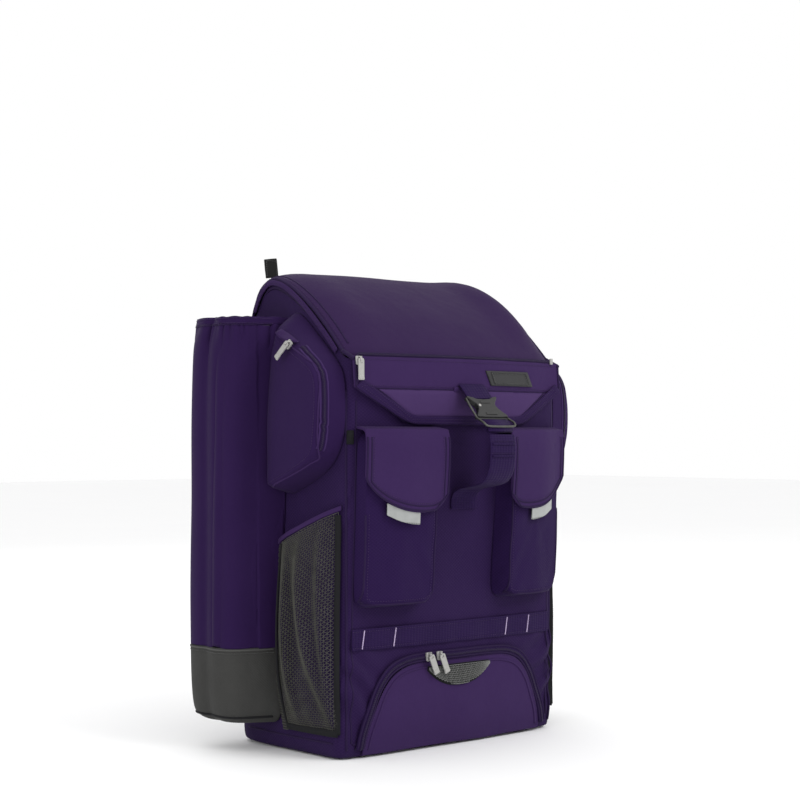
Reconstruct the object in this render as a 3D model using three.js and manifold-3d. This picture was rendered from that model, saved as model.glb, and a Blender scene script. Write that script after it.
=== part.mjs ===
// A baseball bat backpack: a tall cloth body with a sloping lid, a bat sleeve on each side,
// zip, mesh and flap pockets, a zipped compartment at the foot and a buckled strap in front.
// Millimetres. X runs to the right seen from the front, Y towards the wearer's back, Z up.
// The origin is the middle of the flat base that the bag stands on.
import * as THREE from "three";
import { mergeVertices } from "three/addons/utils/BufferGeometryUtils.js";
import Module from "manifold-3d";

const wasm = await Module();
wasm.setup();

// Clearances between pieces that are sewn or fastened together
const GAP = 0.3; // flat faces
const SEAT = 0.7; // pieces laid on curved cloth

// Main body
const WIDTH = 368;
const DEPTH = 225;
const HEIGHT = 600; // floor to the lid's side seam
const CLOTH = 2.4; // coated cloth, foam and lining
const FRONT_CORNER = 14;
const BACK_CORNER = 26;
const BASE_EDGE = 9; // rounding between the base and the walls

// Lid
const LID_START = 0.825; // height of its front edge, as a share of HEIGHT
const LID_CLOTH = 2.4;
const LID_CROWN = 12; // how far its slope swells above the side seams
const LID_RIDGE = 5; // how far its ridge does
const LID_SHOULDER = 8; // the higher, the fuller the swell stands at its sides
const WELT_WIDTH = 7;
const WELT_THICK = 2;
const WELT_DROP = 3; // from the lid's seam down to the welt

// Front flap of the lid
const FLAP_MARGIN = 3; // from the body's side to the flap's
const FLAP_HALF = WIDTH / 2 - FLAP_MARGIN;
const FLAP_SEAM = 1; // from the lid's front edge down to the flap
const FLAP_TOP = HEIGHT * LID_START - FLAP_SEAM;
const FLAP_CLOTH = 3.2;
const FLAP_CORNER_DROP = 38; // how far down the flap's sides go
const FLAP_DROP = 83; // how far down its middle goes
const FLAP_FLAT_HALF = 100; // half of its straight bottom edge
const FLAP_LIFT = 2.5;
const BAND_WIDTH = 10;
const BAND_THICK = 1.2;

// Lid zipper
const ZIP_WIDTH = 4.6;
const ZIP_THICK = 2.2;
const LID_ZIP_LIFT = 0.4;
const SLIDER_WIDTH = 9;
const SLIDER_LENGTH = 12;
const SLIDER_THICK = 5;
const PULL_WIDTH = 9.5;
const PULL_LENGTH = 27;
const PULL_THICK = 1.8;
const LID_PULL_LIFT = 4.4; // from the middle of the slider
const LID_SLIDER_IN = 5.4; // from the flap's side
const LID_SLIDER_DROP = 6; // below the flap's seam
const LID_STOP_IN = 18; // from the flap's side
const STOP = { wide: 5, long: 8, thick: 2 };

// Label patch on the flap
const PATCH_WIDTH = 83;
const PATCH_HEIGHT = 19;
const PATCH_THICK = 1.6;
const PATCH_X = 77;
const PATCH_DROP = 23; // from the flap's seam down to its middle
const PATCH_SLANT = 10;

// Bat sleeves
const SLEEVE_OUT = 79; // how far it stands off the body
const SLEEVE_REACH = WIDTH / 2 + SLEEVE_OUT;
const SLEEVE_FRONT = 0;
const SLEEVE_LENGTH = 122;
const SLEEVE_FOOT = 33;
const SLEEVE_DROP = 53; // from the bag's top down to its hem
const SLEEVE_TOP = HEIGHT - SLEEVE_DROP;
const SLEEVE_CLOTH = 2;
const HEM_HEIGHT = 10;
const HEM_CLOTH = 3.4;
const HEM_PROUD = 0.8; // how far the hem stands outside the cloth below it
const BOOT_HEIGHT = 97;
const BOOT_CLOTH = 2.6;
const BOOT_EDGE = 18; // rounding round the boot's foot
const GATHER_DEPTH = 2.2;
const GATHER_COUNT = 6;
const GATHER_FADE = 60;

// Zip pockets on the sides
const SIDE_POCKET_OUT = 42;
const SIDE_POCKET_CLOTH = 2;
const SIDE_ZIP_THICK = 1.4;

// Mesh pockets on the sides
const MESH_FOOT = 28;
const MESH_TOP_FRONT = 305;
const MESH_TOP_BACK = 260;
const MESH_BULGE = 24;
const MESH_THICK = 1.4;
const MESH_REAR_OUT = 12; // where the rear edge meets the sleeve
const MESH_REAR_GAP = 4; // from the rear edge to the sleeve's front
const BINDING_WIDTH = 10;
const BINDING_THICK = 1.6;
const TOP_BINDING = 6;

// Flap pockets on the front
const POCKET_MARGIN = 12; // from the body's side to the pocket's outer edge
const POCKET_OUTER = WIDTH / 2 - POCKET_MARGIN;
const POCKET_INNER = 58;
const POCKET_HEIGHT = 217;
const POCKET_DROP = 92; // from the flap's seam down to the pocket
const POCKET_TOP = FLAP_TOP - POCKET_DROP;
const POCKET_FOOT = POCKET_TOP - POCKET_HEIGHT;
const POCKET_OUT = 25;
const POCKET_SLOPE = 0.36; // how much less it stands off at its outer edge, as a share
const POCKET_SWELL = 0.12; // how much further its face stands in the middle, as a share
const POCKET_CLOTH = 2;
const POCKET_CORNER = 16;
const POCKET_FLAP_DROP = 98;
const POCKET_FLAP_CLOTH = 2.6;
const FLAP_OVER = 2.5; // how far it stands out past the pocket at each side
const TAB_WIDTH = 46;
const TAB_HEIGHT = 15;
const TAB_THICK = 1.6;
const TAB_SHIFT = 7; // from the middle of the flap towards its outer side

// Daisy chain webbing
const CHAIN_FOOT = 133;
const CHAIN_HEIGHT = 27;
const CHAIN_MARGIN = 10;
const CHAIN_HALF = WIDTH / 2 - CHAIN_MARGIN;
const CHAIN_THICK = 1.6;
const CHAIN_RISE = 1.6; // swell between two bar tacks
const CHAIN_PITCH = 50;
const CHAIN_BAYS = 3; // raised bays on each side of the middle

// Zipped arch compartment at the foot
const ARCH_MARGIN = 18;
const ARCH_HALF = WIDTH / 2 - ARCH_MARGIN;
const ARCH_TOP = 123;
const ARCH_FOOT = 4;
const ARCH_RISE = 6;
const ARCH_START = 0.05; // share of the swell's half wave that lies below the panel
const ARCH_CLOTH = 2;
const ARCH_ZIP_WIDTH = 10;
const ARCH_ZIP_THICK = 3;
const ARCH_SEAM = 1.2; // from the zipper to the panel
const VENT_HALF = 54;
const VENT_TOP = 104;
const VENT_DROP = 25;
const VENT_END = 3; // how tall its two ends are
const VENT_THICK = 1.2;
const ARCH_SLIDERS = [-54, -36]; // places of the two sliders along X
const ARCH_PULL_LEAN = 26;
const ARCH_PULL_LIFT = 6.4; // clear of the swelling panel

// Buckled strap in front
const STRAP_WIDTH = 44;
const STRAP_THICK = 1.8;
const STRAP_OUT = 69; // how far it stands off the front cloth
const BUCKLE_WIDTH = 56;
const PRONG_LENGTH = 17;
const SOCKET_LENGTH = 21;
const FRAME_LENGTH = 15;
const BUCKLE_THICK = 9;

// Corner tag
const TAG_WIDTH = 20;
const TAG_HEIGHT = 25;
const TAG_THICK = 1.6;
const TAG_LIFT = 0.9; // clear of the lid's swell
const TAG_RUN = 0.595; // its place along the lid
const TAG_SHARE = 0.93; // its outer edge, as a share of the lid's half

// Carrying side
const BACK_PAD_MARGIN = 42;
const BACK_PAD_HALF = WIDTH / 2 - BACK_PAD_MARGIN;
const BACK_PAD_FOOT = 70;
const BACK_PAD_DROP = 130; // from the bag's top down to the pad
const BACK_PAD_TOP = HEIGHT - BACK_PAD_DROP;
const BACK_PAD_THICK = 13;
const BACK_PAD_EDGE = 3;
const BACK_CHANNEL = 0.16; // width of the airway down its middle, as a share of its half
const SHOULDER_WIDTH = 66;
const SHOULDER_THICK = 12;
const LOWER_WEB_WIDTH = 25;
const LOWER_WEB_THICK = 1.8;
const LOCK_THICK = 4.5;
const HANDLE_SPAN = 96;
const HANDLE_ABOVE = 46; // above the pad
const HANDLE_Z = BACK_PAD_TOP + HANDLE_ABOVE;
const HANDLE_RISE = 42;
const HANDLE_WIDTH = 26;
const HANDLE_THICK = 5;

// Sections of the body by height, as shares: up of HEIGHT, half and side of WIDTH, the rest of DEPTH.
// bow is how far the front swells in its middle, side how far each side does.
const BODY_SECTIONS = [
  { up: 0.0, half: 0.516, front: 0.482, back: 0.468, bow: 0.01, side: 0.004 },
  { up: 0.05, half: 0.515, front: 0.49, back: 0.478, bow: 0.014, side: 0.008 },
  { up: 0.2, half: 0.509, front: 0.494, back: 0.488, bow: 0.02, side: 0.011 },
  { up: 0.37, half: 0.501, front: 0.503, back: 0.492, bow: 0.03, side: 0.01 },
  { up: 0.5, half: 0.5, front: 0.522, back: 0.5, bow: 0.042, side: 0.006 },
  { up: 0.67, half: 0.5, front: 0.534, back: 0.5, bow: 0.056, side: 0.004 },
  { up: 0.76, half: 0.497, front: 0.542, back: 0.5, bow: 0.066, side: 0.003 },
  { up: 0.84, half: 0.49, front: 0.538, back: 0.5, bow: 0.07, side: 0.002 },
  { up: 1.0, half: 0.48, front: 0.536, back: 0.49, bow: 0.07, side: 0 },
];

// The lid's side seam from front to back: run as a share of the body's depth there, up of HEIGHT.
const LID_PROFILE = [
  { run: 0.0, up: LID_START },
  { run: 0.12, up: 0.867 },
  { run: 0.329, up: 0.927 },
  { run: 0.5, up: 0.968 },
  { run: 0.632, up: 0.991 },
  { run: 0.744, up: 1.0 },
  { run: 0.829, up: 0.996 },
  { run: 0.906, up: 0.975 },
  { run: 0.957, up: 0.948 },
  { run: 0.987, up: 0.92 },
  { run: 1.0, up: 0.883 },
];

// Soft creases in the side cloth between the zip pocket and the mesh pocket.
// along is a share of DEPTH, up of HEIGHT, lean in degrees, long and wide of HEIGHT, deep of CLOTH.
const SIDE_CREASES = [
  { along: -0.4, up: 0.56, lean: 62, long: 0.05, wide: 0.014, deep: 1.1 },
  { along: -0.31, up: 0.53, lean: 58, long: 0.045, wide: 0.014, deep: 1.3 },
  { along: -0.18, up: 0.505, lean: 66, long: 0.035, wide: 0.012, deep: 1.0 },
];

// A bat sleeve seen from above: out is a share of its reach off the body, along of its length.
const SLEEVE_PLAN = [
  { out: 0.0, along: 0.0 },
  { out: 0.23, along: 0.05 },
  { out: 0.52, along: 0.115 },
  { out: 0.84, along: 0.2 },
  { out: 0.98, along: 0.34 },
  { out: 0.99, along: 0.47 },
  { out: 0.93, along: 0.59 },
  { out: 0.985, along: 0.67 },
  { out: 0.99, along: 0.8 },
  { out: 0.87, along: 0.93 },
  { out: 0.57, along: 1.0 },
  { out: 0.24, along: 0.955 },
  { out: 0.0, along: 0.86 },
];

// A bat sleeve by height: up is a share of its height, reach of its reach off the body.
const SLEEVE_HEIGHTS = [
  { up: 0.0, reach: 0.9 },
  { up: 0.06, reach: 0.98 },
  { up: 0.19, reach: 1.01 },
  { up: 0.45, reach: 1.0 },
  { up: 0.8, reach: 0.99 },
  { up: 0.93, reach: 0.98 },
  { up: 1.0, reach: 0.875 },
];

// The zip pocket's face and its seam on the body: y columns are shares of DEPTH, z columns of HEIGHT,
// out a share of how far the pocket stands off.
const SIDE_POCKET = [
  { faceY: -0.02, faceZ: 0.878, rootY: -0.036, rootZ: 0.92, out: 0.68 },
  { faceY: -0.12, faceZ: 0.86, rootY: -0.12, rootZ: 0.912, out: 0.8 },
  { faceY: -0.224, faceZ: 0.842, rootY: -0.235, rootZ: 0.878, out: 0.92 },
  { faceY: -0.345, faceZ: 0.82, rootY: -0.35, rootZ: 0.842, out: 0.96 },
  { faceY: -0.427, faceZ: 0.797, rootY: -0.462, rootZ: 0.802, out: 0.93 },
  { faceY: -0.463, faceZ: 0.76, rootY: -0.498, rootZ: 0.765, out: 0.92 },
  { faceY: -0.462, faceZ: 0.68, rootY: -0.502, rootZ: 0.69, out: 0.92 },
  { faceY: -0.438, faceZ: 0.625, rootY: -0.478, rootZ: 0.64, out: 0.92 },
  { faceY: -0.37, faceZ: 0.602, rootY: -0.398, rootZ: 0.598, out: 0.93 },
  { faceY: -0.233, faceZ: 0.58, rootY: -0.245, rootZ: 0.566, out: 0.93 },
  { faceY: -0.01, faceZ: 0.552, rootY: -0.03, rootZ: 0.537, out: 0.72 },
  { faceY: 0.02, faceZ: 0.6, rootY: -0.018, rootZ: 0.59, out: 0.66 },
  { faceY: 0.022, faceZ: 0.72, rootY: -0.018, rootZ: 0.73, out: 0.64 },
  { faceY: 0.018, faceZ: 0.83, rootY: -0.018, rootZ: 0.87, out: 0.64 },
];

// Upright folds of the mesh pocket: along is a share of its depth, deep of its bulge.
const MESH_FOLDS = [
  { along: 0.28, wide: 0.07, deep: 0.2 },
  { along: 0.55, wide: 0.06, deep: 0.26 },
  { along: 0.8, wide: 0.05, deep: 0.16 },
];

// The arch's outline on one side: out is a share of ARCH_HALF, up of ARCH_TOP.
const ARCH_OUTLINE = [
  { out: 1.0, up: 0.1 },
  { out: 0.97, up: 0.28 },
  { out: 0.905, up: 0.49 },
  { out: 0.83, up: 0.71 },
  { out: 0.72, up: 0.885 },
  { out: 0.57, up: 0.972 },
  { out: 0.36, up: 1.0 },
  { out: 0.0, up: 1.0 },
];

// The buckled strap from its seam on the flap round to its seam below: off is a share of STRAP_OUT
// off the front, z a share of HEIGHT.
const STRAP_PATH = {
  upper: [
    { off: 0.056, z: 0.77 },
    { off: 0.14, z: 0.761 },
    { off: 0.32, z: 0.739 },
  ],
  lower: [
    { off: 0.92, z: 0.664 },
    { off: 0.97, z: 0.635 },
    { off: 0.95, z: 0.592 },
    { off: 0.8, z: 0.565 },
    { off: 0.5, z: 0.556 },
    { off: 0.2, z: 0.55 },
    { off: 0.0, z: 0.535 },
    { off: 0.0, z: 0.505 },
  ],
};

// A shoulder strap from its upper seam down to its ladder lock: out is a share of WIDTH, off of
// SHOULDER_WIDTH behind the back pad, z of HEIGHT, wide of SHOULDER_WIDTH.
const SHOULDER_PATH = [
  { out: 0.17, off: -0.052, z: 0.815, wide: 0.8 },
  { out: 0.175, off: 0.3, z: 0.825, wide: 0.9 },
  { out: 0.19, off: 0.66, z: 0.8, wide: 1.0 },
  { out: 0.215, off: 0.88, z: 0.735, wide: 1.0 },
  { out: 0.235, off: 0.86, z: 0.65, wide: 1.0 },
  { out: 0.25, off: 0.7, z: 0.55, wide: 0.95 },
  { out: 0.262, off: 0.52, z: 0.45, wide: 0.86 },
  { out: 0.272, off: 0.36, z: 0.37, wide: 0.7 },
  { out: 0.278, off: 0.28, z: 0.325, wide: 0.55 },
];
const LOWER_WEB_PATH = [
  { out: 0.28, off: 0.24, z: 0.29 },
  { out: 0.3, off: 0.18, z: 0.24 },
  { out: 0.335, off: 0.12, z: 0.17 },
  { out: 0.37, off: 0.04, z: 0.1 },
  { out: 0.385, off: 0.0, z: 0.065 },
];

const FINISHES = {
  panel: { color: 0x4a3862, roughness: 0.72, metalness: 0 },
  cloth: { color: 0x3d2a55, roughness: 0.78, metalness: 0 },
  sleeve: { color: 0x33234c, roughness: 0.7, metalness: 0 },
  webbing: { color: 0x3a2852, roughness: 0.85, metalness: 0 },
  boot: { color: 0x2c2c2e, roughness: 0.8, metalness: 0 },
  mesh: { color: 0x222126, roughness: 0.9, metalness: 0 },
  padding: { color: 0x1f1f22, roughness: 0.9, metalness: 0 },
  plastic: { color: 0x18181a, roughness: 0.38, metalness: 0 },
  rubber: { color: 0x242424, roughness: 0.6, metalness: 0 },
  metal: { color: 0xa8a8a2, roughness: 0.4, metalness: 0.85 },
  greyTab: { color: 0x8f9190, roughness: 0.6, metalness: 0.1 },
};

const bag = new THREE.Group();

// One named sub-part with its own material.
function add(name, geometry, finish) {
  const mesh = new THREE.Mesh(geometry, new THREE.MeshStandardMaterial(FINISHES[finish]));
  mesh.name = name;
  bag.add(mesh);
  return mesh;
}

// The same sub-part on both sides: the geometry is the one at the wearer's right, seen at the left.
function addPair(name, geometry, finish) {
  add(name + "_left", geometry, finish);
  add(name + "_right", mirrored(geometry), finish);
}

function mirrored(geometry) {
  const copy = mergeVertices(bareOf(geometry), 1e-4).applyMatrix4(new THREE.Matrix4().makeScale(-1, 1, 1));
  const index = copy.getIndex();
  for (let i = 0; i < index.count; i += 3) {
    const kept = index.getX(i);
    index.setX(i, index.getX(i + 1));
    index.setX(i + 1, kept);
  }
  return copy;
}

// A copy that holds positions alone, so that shared corners can be merged.
function bareOf(geometry) {
  const bare = geometry.clone();
  bare.deleteAttribute("normal");
  bare.deleteAttribute("uv");
  return bare;
}

// Tables and plain sums

// A table's columns at one place, straight from row to row.
function rowAt(table, key, at) {
  let i = 0;
  while (i < table.length - 2 && at > table[i + 1][key]) i++;
  const [a, b] = [table[i], table[i + 1]];
  const t = THREE.MathUtils.clamp((at - a[key]) / (b[key] - a[key]), 0, 1);
  const row = {};
  for (const name of Object.keys(a)) row[name] = THREE.MathUtils.lerp(a[name], b[name], t);
  return row;
}

// A table's columns along a smooth curve through its rows, t from 0 to 1.
function curveRow(table, t, closed = false) {
  const count = table.length;
  const place = t * (closed ? count : count - 1);
  const i = Math.min(Math.floor(place), closed ? count - 1 : count - 2);
  const f = place - i;
  const pick = (k) => table[closed ? (k + count) % count : THREE.MathUtils.clamp(k, 0, count - 1)];
  const [a, b, c, d] = [pick(i - 1), pick(i), pick(i + 1), pick(i + 2)];
  const row = {};
  for (const name of Object.keys(b)) {
    const [p, q, r, s] = [a[name], b[name], c[name], d[name]];
    row[name] =
      0.5 * (2 * q + (r - p) * f + (2 * p - 5 * q + 4 * r - s) * f * f + (3 * q - p - 3 * r + s) * f ** 3);
  }
  return row;
}

function steps(count, from = 0, to = 1) {
  return Array.from({ length: count + 1 }, (_, i) => from + ((to - from) * i) / count);
}

const bell = (x, wide) => Math.exp(-((x / wide) ** 2));
const fade = (x, from, to) => THREE.MathUtils.smoothstep(x, Math.min(from, to), Math.max(from, to));

// Closed solids from points

// A solid of points and triangles, turned so that its faces look outwards.
function solidOf(points, faces) {
  let volume = 0;
  for (const [a, b, c] of faces) volume += points[a].dot(points[b].clone().cross(points[c]));
  const turned = volume < 0 ? faces.map(([a, b, c]) => [a, c, b]) : faces;
  const geometry = new THREE.BufferGeometry().setFromPoints(points);
  geometry.setIndex(turned.flat());
  return geometry;
}

// A loft through closed rings with the same number of points. Its ends are capped, or with loop
// the last ring joins the first.
function loft(rings, loop = false) {
  const size = rings[0].length;
  const points = rings.flat();
  const faces = [];
  const link = (a, b) => {
    for (let j = 0; j < size; j++) {
      const k = (j + 1) % size;
      faces.push([a * size + j, a * size + k, b * size + k], [a * size + j, b * size + k, b * size + j]);
    }
  };
  const cap = (ring, turn) => {
    const middle = points.length;
    const centre = new THREE.Vector3();
    for (const p of rings[ring]) centre.addScaledVector(p, 1 / size);
    points.push(centre);
    for (let j = 0; j < size; j++) {
      const [a, b] = [ring * size + j, ring * size + ((j + 1) % size)];
      faces.push(turn ? [middle, a, b] : [middle, b, a]);
    }
  };
  for (let i = 0; i + 1 < rings.length; i++) link(i, i + 1);
  if (loop) {
    link(rings.length - 1, 0);
  } else {
    cap(0, false);
    cap(rings.length - 1, true);
  }
  return solidOf(points, faces);
}

// The direction square to a surface at(u, v), on the side that rise points to.
function squareTo(at, u, v, rise, closed) {
  const e = 0.01;
  const [u0, u1] = closed ? [u - e, u + e] : [Math.max(0, u - e), Math.min(1, u + e)];
  const [v0, v1] = [Math.max(0, v - e), Math.min(1, v + e)];
  const n = at(u1, v).sub(at(u0, v)).cross(at(u, v1).sub(at(u, v0))).normalize();
  return n.dot(rise) < 0 ? n.negate() : n;
}

const OUTWARDS = new THREE.Vector3(0, 0, 1); // in a surface's own frame: along, up, off

// A sheet of cloth with a thickness. at(u, v) is its underside in a surface's frame and place puts
// that frame's points on the bag.
function sheet(at, { across, along, thick, place, rise = OUTWARDS }) {
  const under = [];
  const upper = [];
  for (const u of steps(across)) {
    for (const v of steps(along)) {
      const p = at(u, v);
      const depth = typeof thick === "function" ? thick(u, v) : thick;
      under.push(place(p));
      upper.push(place(p.clone().addScaledVector(squareTo(at, u, v, rise, false), depth)));
    }
  }
  return solidBetween(under, upper, across, along);
}

// A solid between two grids of points.
function solidBetween(under, upper, across, along) {
  const row = along + 1;
  const far = under.length;
  const faces = [];
  for (let i = 0; i < across; i++) {
    for (let j = 0; j < along; j++) {
      const [a, b, c, d] = [i * row + j, (i + 1) * row + j, (i + 1) * row + j + 1, i * row + j + 1];
      faces.push([a, b, c], [a, c, d], [far + a, far + c, far + b], [far + a, far + d, far + c]);
    }
  }
  const border = [];
  for (let i = 0; i < across; i++) border.push(i * row);
  for (let j = 0; j < along; j++) border.push(across * row + j);
  for (let i = across; i > 0; i--) border.push(i * row + along);
  for (let j = along; j > 0; j--) border.push(j);
  border.forEach((a, k) => {
    const b = border[(k + 1) % border.length];
    faces.push([a, far + a, far + b], [a, far + b, b]);
  });
  return solidOf([...under, ...upper], faces);
}

// A hollow swelling that is open towards the bag: at(u, v) is its outer face, u round it and v from
// its middle, 0, to its seam, 1.
function dome(at, { around, levels, thick, place }) {
  const turns = steps(around).slice(0, -1);
  const outer = levels.map((v) => turns.map((u) => at(u, v)));
  const inner = levels.map((v) =>
    turns.map((u) => {
      const p = at(u, v);
      const off = p.z;
      p.addScaledVector(squareTo(at, u, v, OUTWARDS, true), -thick);
      if (v === 1) p.z = off;
      return p;
    }),
  );
  const rings = [...outer, ...inner.reverse()];
  return loft(rings.map((ring) => ring.map(place)));
}

// Webbing along a path of points: flat, as wide as it says along the given direction.
function webbing(path, width, thick, across) {
  const rings = path.map((p, i) => {
    const ahead = path[Math.min(i + 1, path.length - 1)].clone().sub(path[Math.max(i - 1, 0)]);
    const wide = (typeof across === "function" ? across(i / (path.length - 1)) : across).clone();
    wide.addScaledVector(ahead.clone().normalize(), -wide.dot(ahead.clone().normalize())).normalize();
    const flat = ahead.normalize().cross(wide).normalize();
    const half = (typeof width === "function" ? width(i / (path.length - 1)) : width) / 2;
    return [
      [-half, -thick / 2],
      [half, -thick / 2],
      [half, thick / 2],
      [-half, thick / 2],
    ].map(([w, t]) => p.clone().addScaledVector(wide, w).addScaledVector(flat, t));
  });
  return loft(rings);
}

// Hardware from flat shapes

function roundedShape(width, height, corner) {
  const [w, h] = [width / 2, height / 2];
  const r = Math.min(corner, w * 0.999, h * 0.999);
  const shape = new THREE.Shape();
  shape.moveTo(-w + r, -h);
  shape.lineTo(w - r, -h);
  shape.absarc(w - r, -h + r, r, -Math.PI / 2, 0);
  shape.lineTo(w, h - r);
  shape.absarc(w - r, h - r, r, 0, Math.PI / 2);
  shape.lineTo(-w + r, h);
  shape.absarc(-w + r, h - r, r, Math.PI / 2, Math.PI);
  shape.lineTo(-w, -h + r);
  shape.absarc(-w + r, -h + r, r, Math.PI, 1.5 * Math.PI);
  return shape;
}

// A flat plate, centred on its thickness, with holes given as [x, y, width, height, corner].
// arc is how many straight pieces a corner has.
function plate(width, height, thick, corner, holes = [], arc = 1) {
  const shape = roundedShape(width, height, corner);
  for (const [x, y, w, h, r] of holes) {
    const points = roundedShape(w, h, r).getPoints(arc);
    shape.holes.push(new THREE.Path(points.map((p) => new THREE.Vector2(p.x + x, p.y + y)).reverse()));
  }
  const made = { depth: thick, bevelEnabled: false, curveSegments: arc };
  return new THREE.ExtrudeGeometry(shape, made).translate(0, 0, -thick / 2);
}

function manifoldOf(geometry) {
  const merged = mergeVertices(bareOf(geometry), 1e-4);
  return new wasm.Manifold(
    new wasm.Mesh({
      numProp: 3,
      vertProperties: new Float32Array(merged.attributes.position.array),
      triVerts: new Uint32Array(merged.index.array),
    }),
  );
}

function joined(first, ...others) {
  const whole = others.reduce((sum, piece) => sum.add(manifoldOf(piece)), manifoldOf(first));
  const mesh = whole.getMesh();
  const geometry = new THREE.BufferGeometry();
  geometry.setAttribute("position", new THREE.BufferAttribute(mesh.vertProperties, 3));
  geometry.setIndex(new THREE.BufferAttribute(mesh.triVerts, 1));
  return geometry;
}

// Turns a plate so that its own Z looks along off and its own Y along up, at a point.
function stand(geometry, point, off, up) {
  const z = off.clone().normalize();
  const x = up.clone().cross(z).normalize();
  const y = z.clone().cross(x);
  return geometry.clone().applyMatrix4(new THREE.Matrix4().makeBasis(x, y, z).setPosition(point));
}

// The body's surfaces

function sectionAt(z) {
  const row = rowAt(BODY_SECTIONS, "up", z / HEIGHT);
  const under = Math.max(0, BASE_EDGE - z);
  const inset = BASE_EDGE - Math.sqrt(Math.max(0, BASE_EDGE ** 2 - under ** 2));
  return {
    half: row.half * WIDTH - inset,
    front: inset - row.front * DEPTH,
    back: row.back * DEPTH - inset,
    bow: row.bow * DEPTH,
    side: row.side * WIDTH,
  };
}

// Y of the front cloth at x and height z.
function frontAt(x, z, rounded = true) {
  const s = sectionAt(z);
  const flat = s.half - FRONT_CORNER;
  const past = rounded ? THREE.MathUtils.clamp(Math.abs(x) - flat, 0, FRONT_CORNER) : 0;
  const bow = s.bow * (1 - Math.min(1, Math.abs(x) / flat) ** 2);
  return s.front - bow + FRONT_CORNER - Math.sqrt(FRONT_CORNER ** 2 - past ** 2);
}

// Y of the back cloth at x and height z.
function backAt(x, z) {
  const s = sectionAt(z);
  const past = THREE.MathUtils.clamp(Math.abs(x) - s.half + BACK_CORNER, 0, BACK_CORNER);
  return s.back - BACK_CORNER + Math.sqrt(BACK_CORNER ** 2 - past ** 2);
}

function creaseAt(y, z) {
  let depth = 0;
  for (const fold of SIDE_CREASES) {
    const [dy, dz] = [y - fold.along * DEPTH, z - fold.up * HEIGHT];
    const turn = THREE.MathUtils.degToRad(fold.lean);
    const run = dy * Math.sin(turn) + dz * Math.cos(turn);
    const off = dy * Math.cos(turn) - dz * Math.sin(turn);
    depth += fold.deep * CLOTH * bell(run, fold.long * HEIGHT) * bell(off, fold.wide * HEIGHT);
  }
  return depth;
}

// Distance of the side cloth from the middle plane at y and height z.
function sideAt(y, z) {
  const s = sectionAt(z);
  const [front, back] = [s.front + FRONT_CORNER, s.back - BACK_CORNER];
  if (y < front) {
    return s.half - FRONT_CORNER + Math.sqrt(Math.max(0, FRONT_CORNER ** 2 - (front - y) ** 2));
  }
  if (y > back) {
    return s.half - BACK_CORNER + Math.sqrt(Math.max(0, BACK_CORNER ** 2 - (y - back) ** 2));
  }
  const share = (2 * y - front - back) / (back - front);
  return s.half + (s.side - creaseAt(y, z)) * (1 - share ** 2);
}

// Frames that lie on the cloth: along, up and off. The flat front ignores the rounded corners.
const onFront = (p) => new THREE.Vector3(p.x, frontAt(p.x, p.y) - SEAT - p.z, p.y);
const onFlatFront = (p) => new THREE.Vector3(p.x, frontAt(p.x, p.y, false) - SEAT - p.z, p.y);
const onLeft = (p) => new THREE.Vector3(-sideAt(p.x, p.y) - SEAT - p.z, p.x, p.y);
const onBack = (p) => new THREE.Vector3(p.x, backAt(p.x, p.y) + SEAT + p.z, p.y);

// Stations round the body's plan: each gives x and y at a height, set in by a wall.
const FRONT_STEPS = 10;
const SIDE_STEPS = 8;
const BACK_STEPS = 4;
const CORNER_STEPS = 3;

function stations() {
  const list = [];
  // A corner's angle runs from its front or back wall, 0, to its side.
  const corner = (sx, name, from, to) => {
    for (const t of steps(CORNER_STEPS, from, to).slice(1, -1)) {
      list.push({ wall: "corner", sx, name, angle: (t * Math.PI) / 2 });
    }
  };
  for (const t of steps(FRONT_STEPS, -1, 1)) list.push({ wall: "front", t });
  corner(1, "front", 0, 1);
  for (const t of steps(SIDE_STEPS)) list.push({ wall: "side", sx: 1, t });
  corner(1, "back", 1, 0);
  for (const t of steps(BACK_STEPS, 1, -1)) list.push({ wall: "back", t });
  corner(-1, "back", 0, 1);
  for (const t of steps(SIDE_STEPS, 1, 0)) list.push({ wall: "side", sx: -1, t });
  corner(-1, "front", 1, 0);
  return list;
}

function stationPoint(station, z, wall) {
  const s = sectionAt(z);
  const [front, back] = [s.front + FRONT_CORNER, s.back - BACK_CORNER];
  if (station.wall === "front") {
    const x = station.t * (s.half - FRONT_CORNER);
    return new THREE.Vector3(x, frontAt(x, z) + wall, z);
  }
  if (station.wall === "back") return new THREE.Vector3(station.t * (s.half - BACK_CORNER), s.back - wall, z);
  if (station.wall === "side") {
    const y = THREE.MathUtils.lerp(front, back, station.t);
    return new THREE.Vector3(station.sx * (sideAt(y, z) - wall), y, z);
  }
  const atBack = station.name === "back";
  const radius = atBack ? BACK_CORNER : FRONT_CORNER;
  const out = (radius - wall) * Math.sin(station.angle);
  const along = (radius - wall) * Math.cos(station.angle) * (atBack ? 1 : -1);
  return new THREE.Vector3(station.sx * (s.half - radius + out), (atBack ? back : front) + along, z);
}

// The lid's surface

const LID_EDGE = LID_PROFILE[0].up * HEIGHT;
const LID_TAIL = LID_PROFILE[LID_PROFILE.length - 1].up * HEIGHT;

const seamHeight = (run) => rowAt(LID_PROFILE, "run", THREE.MathUtils.clamp(run, 0, 1)).up * HEIGHT;
const seamRow = (run) => curveRow(LID_PROFILE, run);

// Y of the lid's front and rear edges at a share of its half width.
function lidEnds(share) {
  const x = THREE.MathUtils.clamp(Math.abs(share), 0, 1);
  const frontX = x * sectionAt(LID_EDGE).half;
  const backX = x * sectionAt(LID_TAIL).half;
  return [frontAt(frontX, LID_EDGE), backAt(backX, LID_TAIL)];
}

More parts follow.
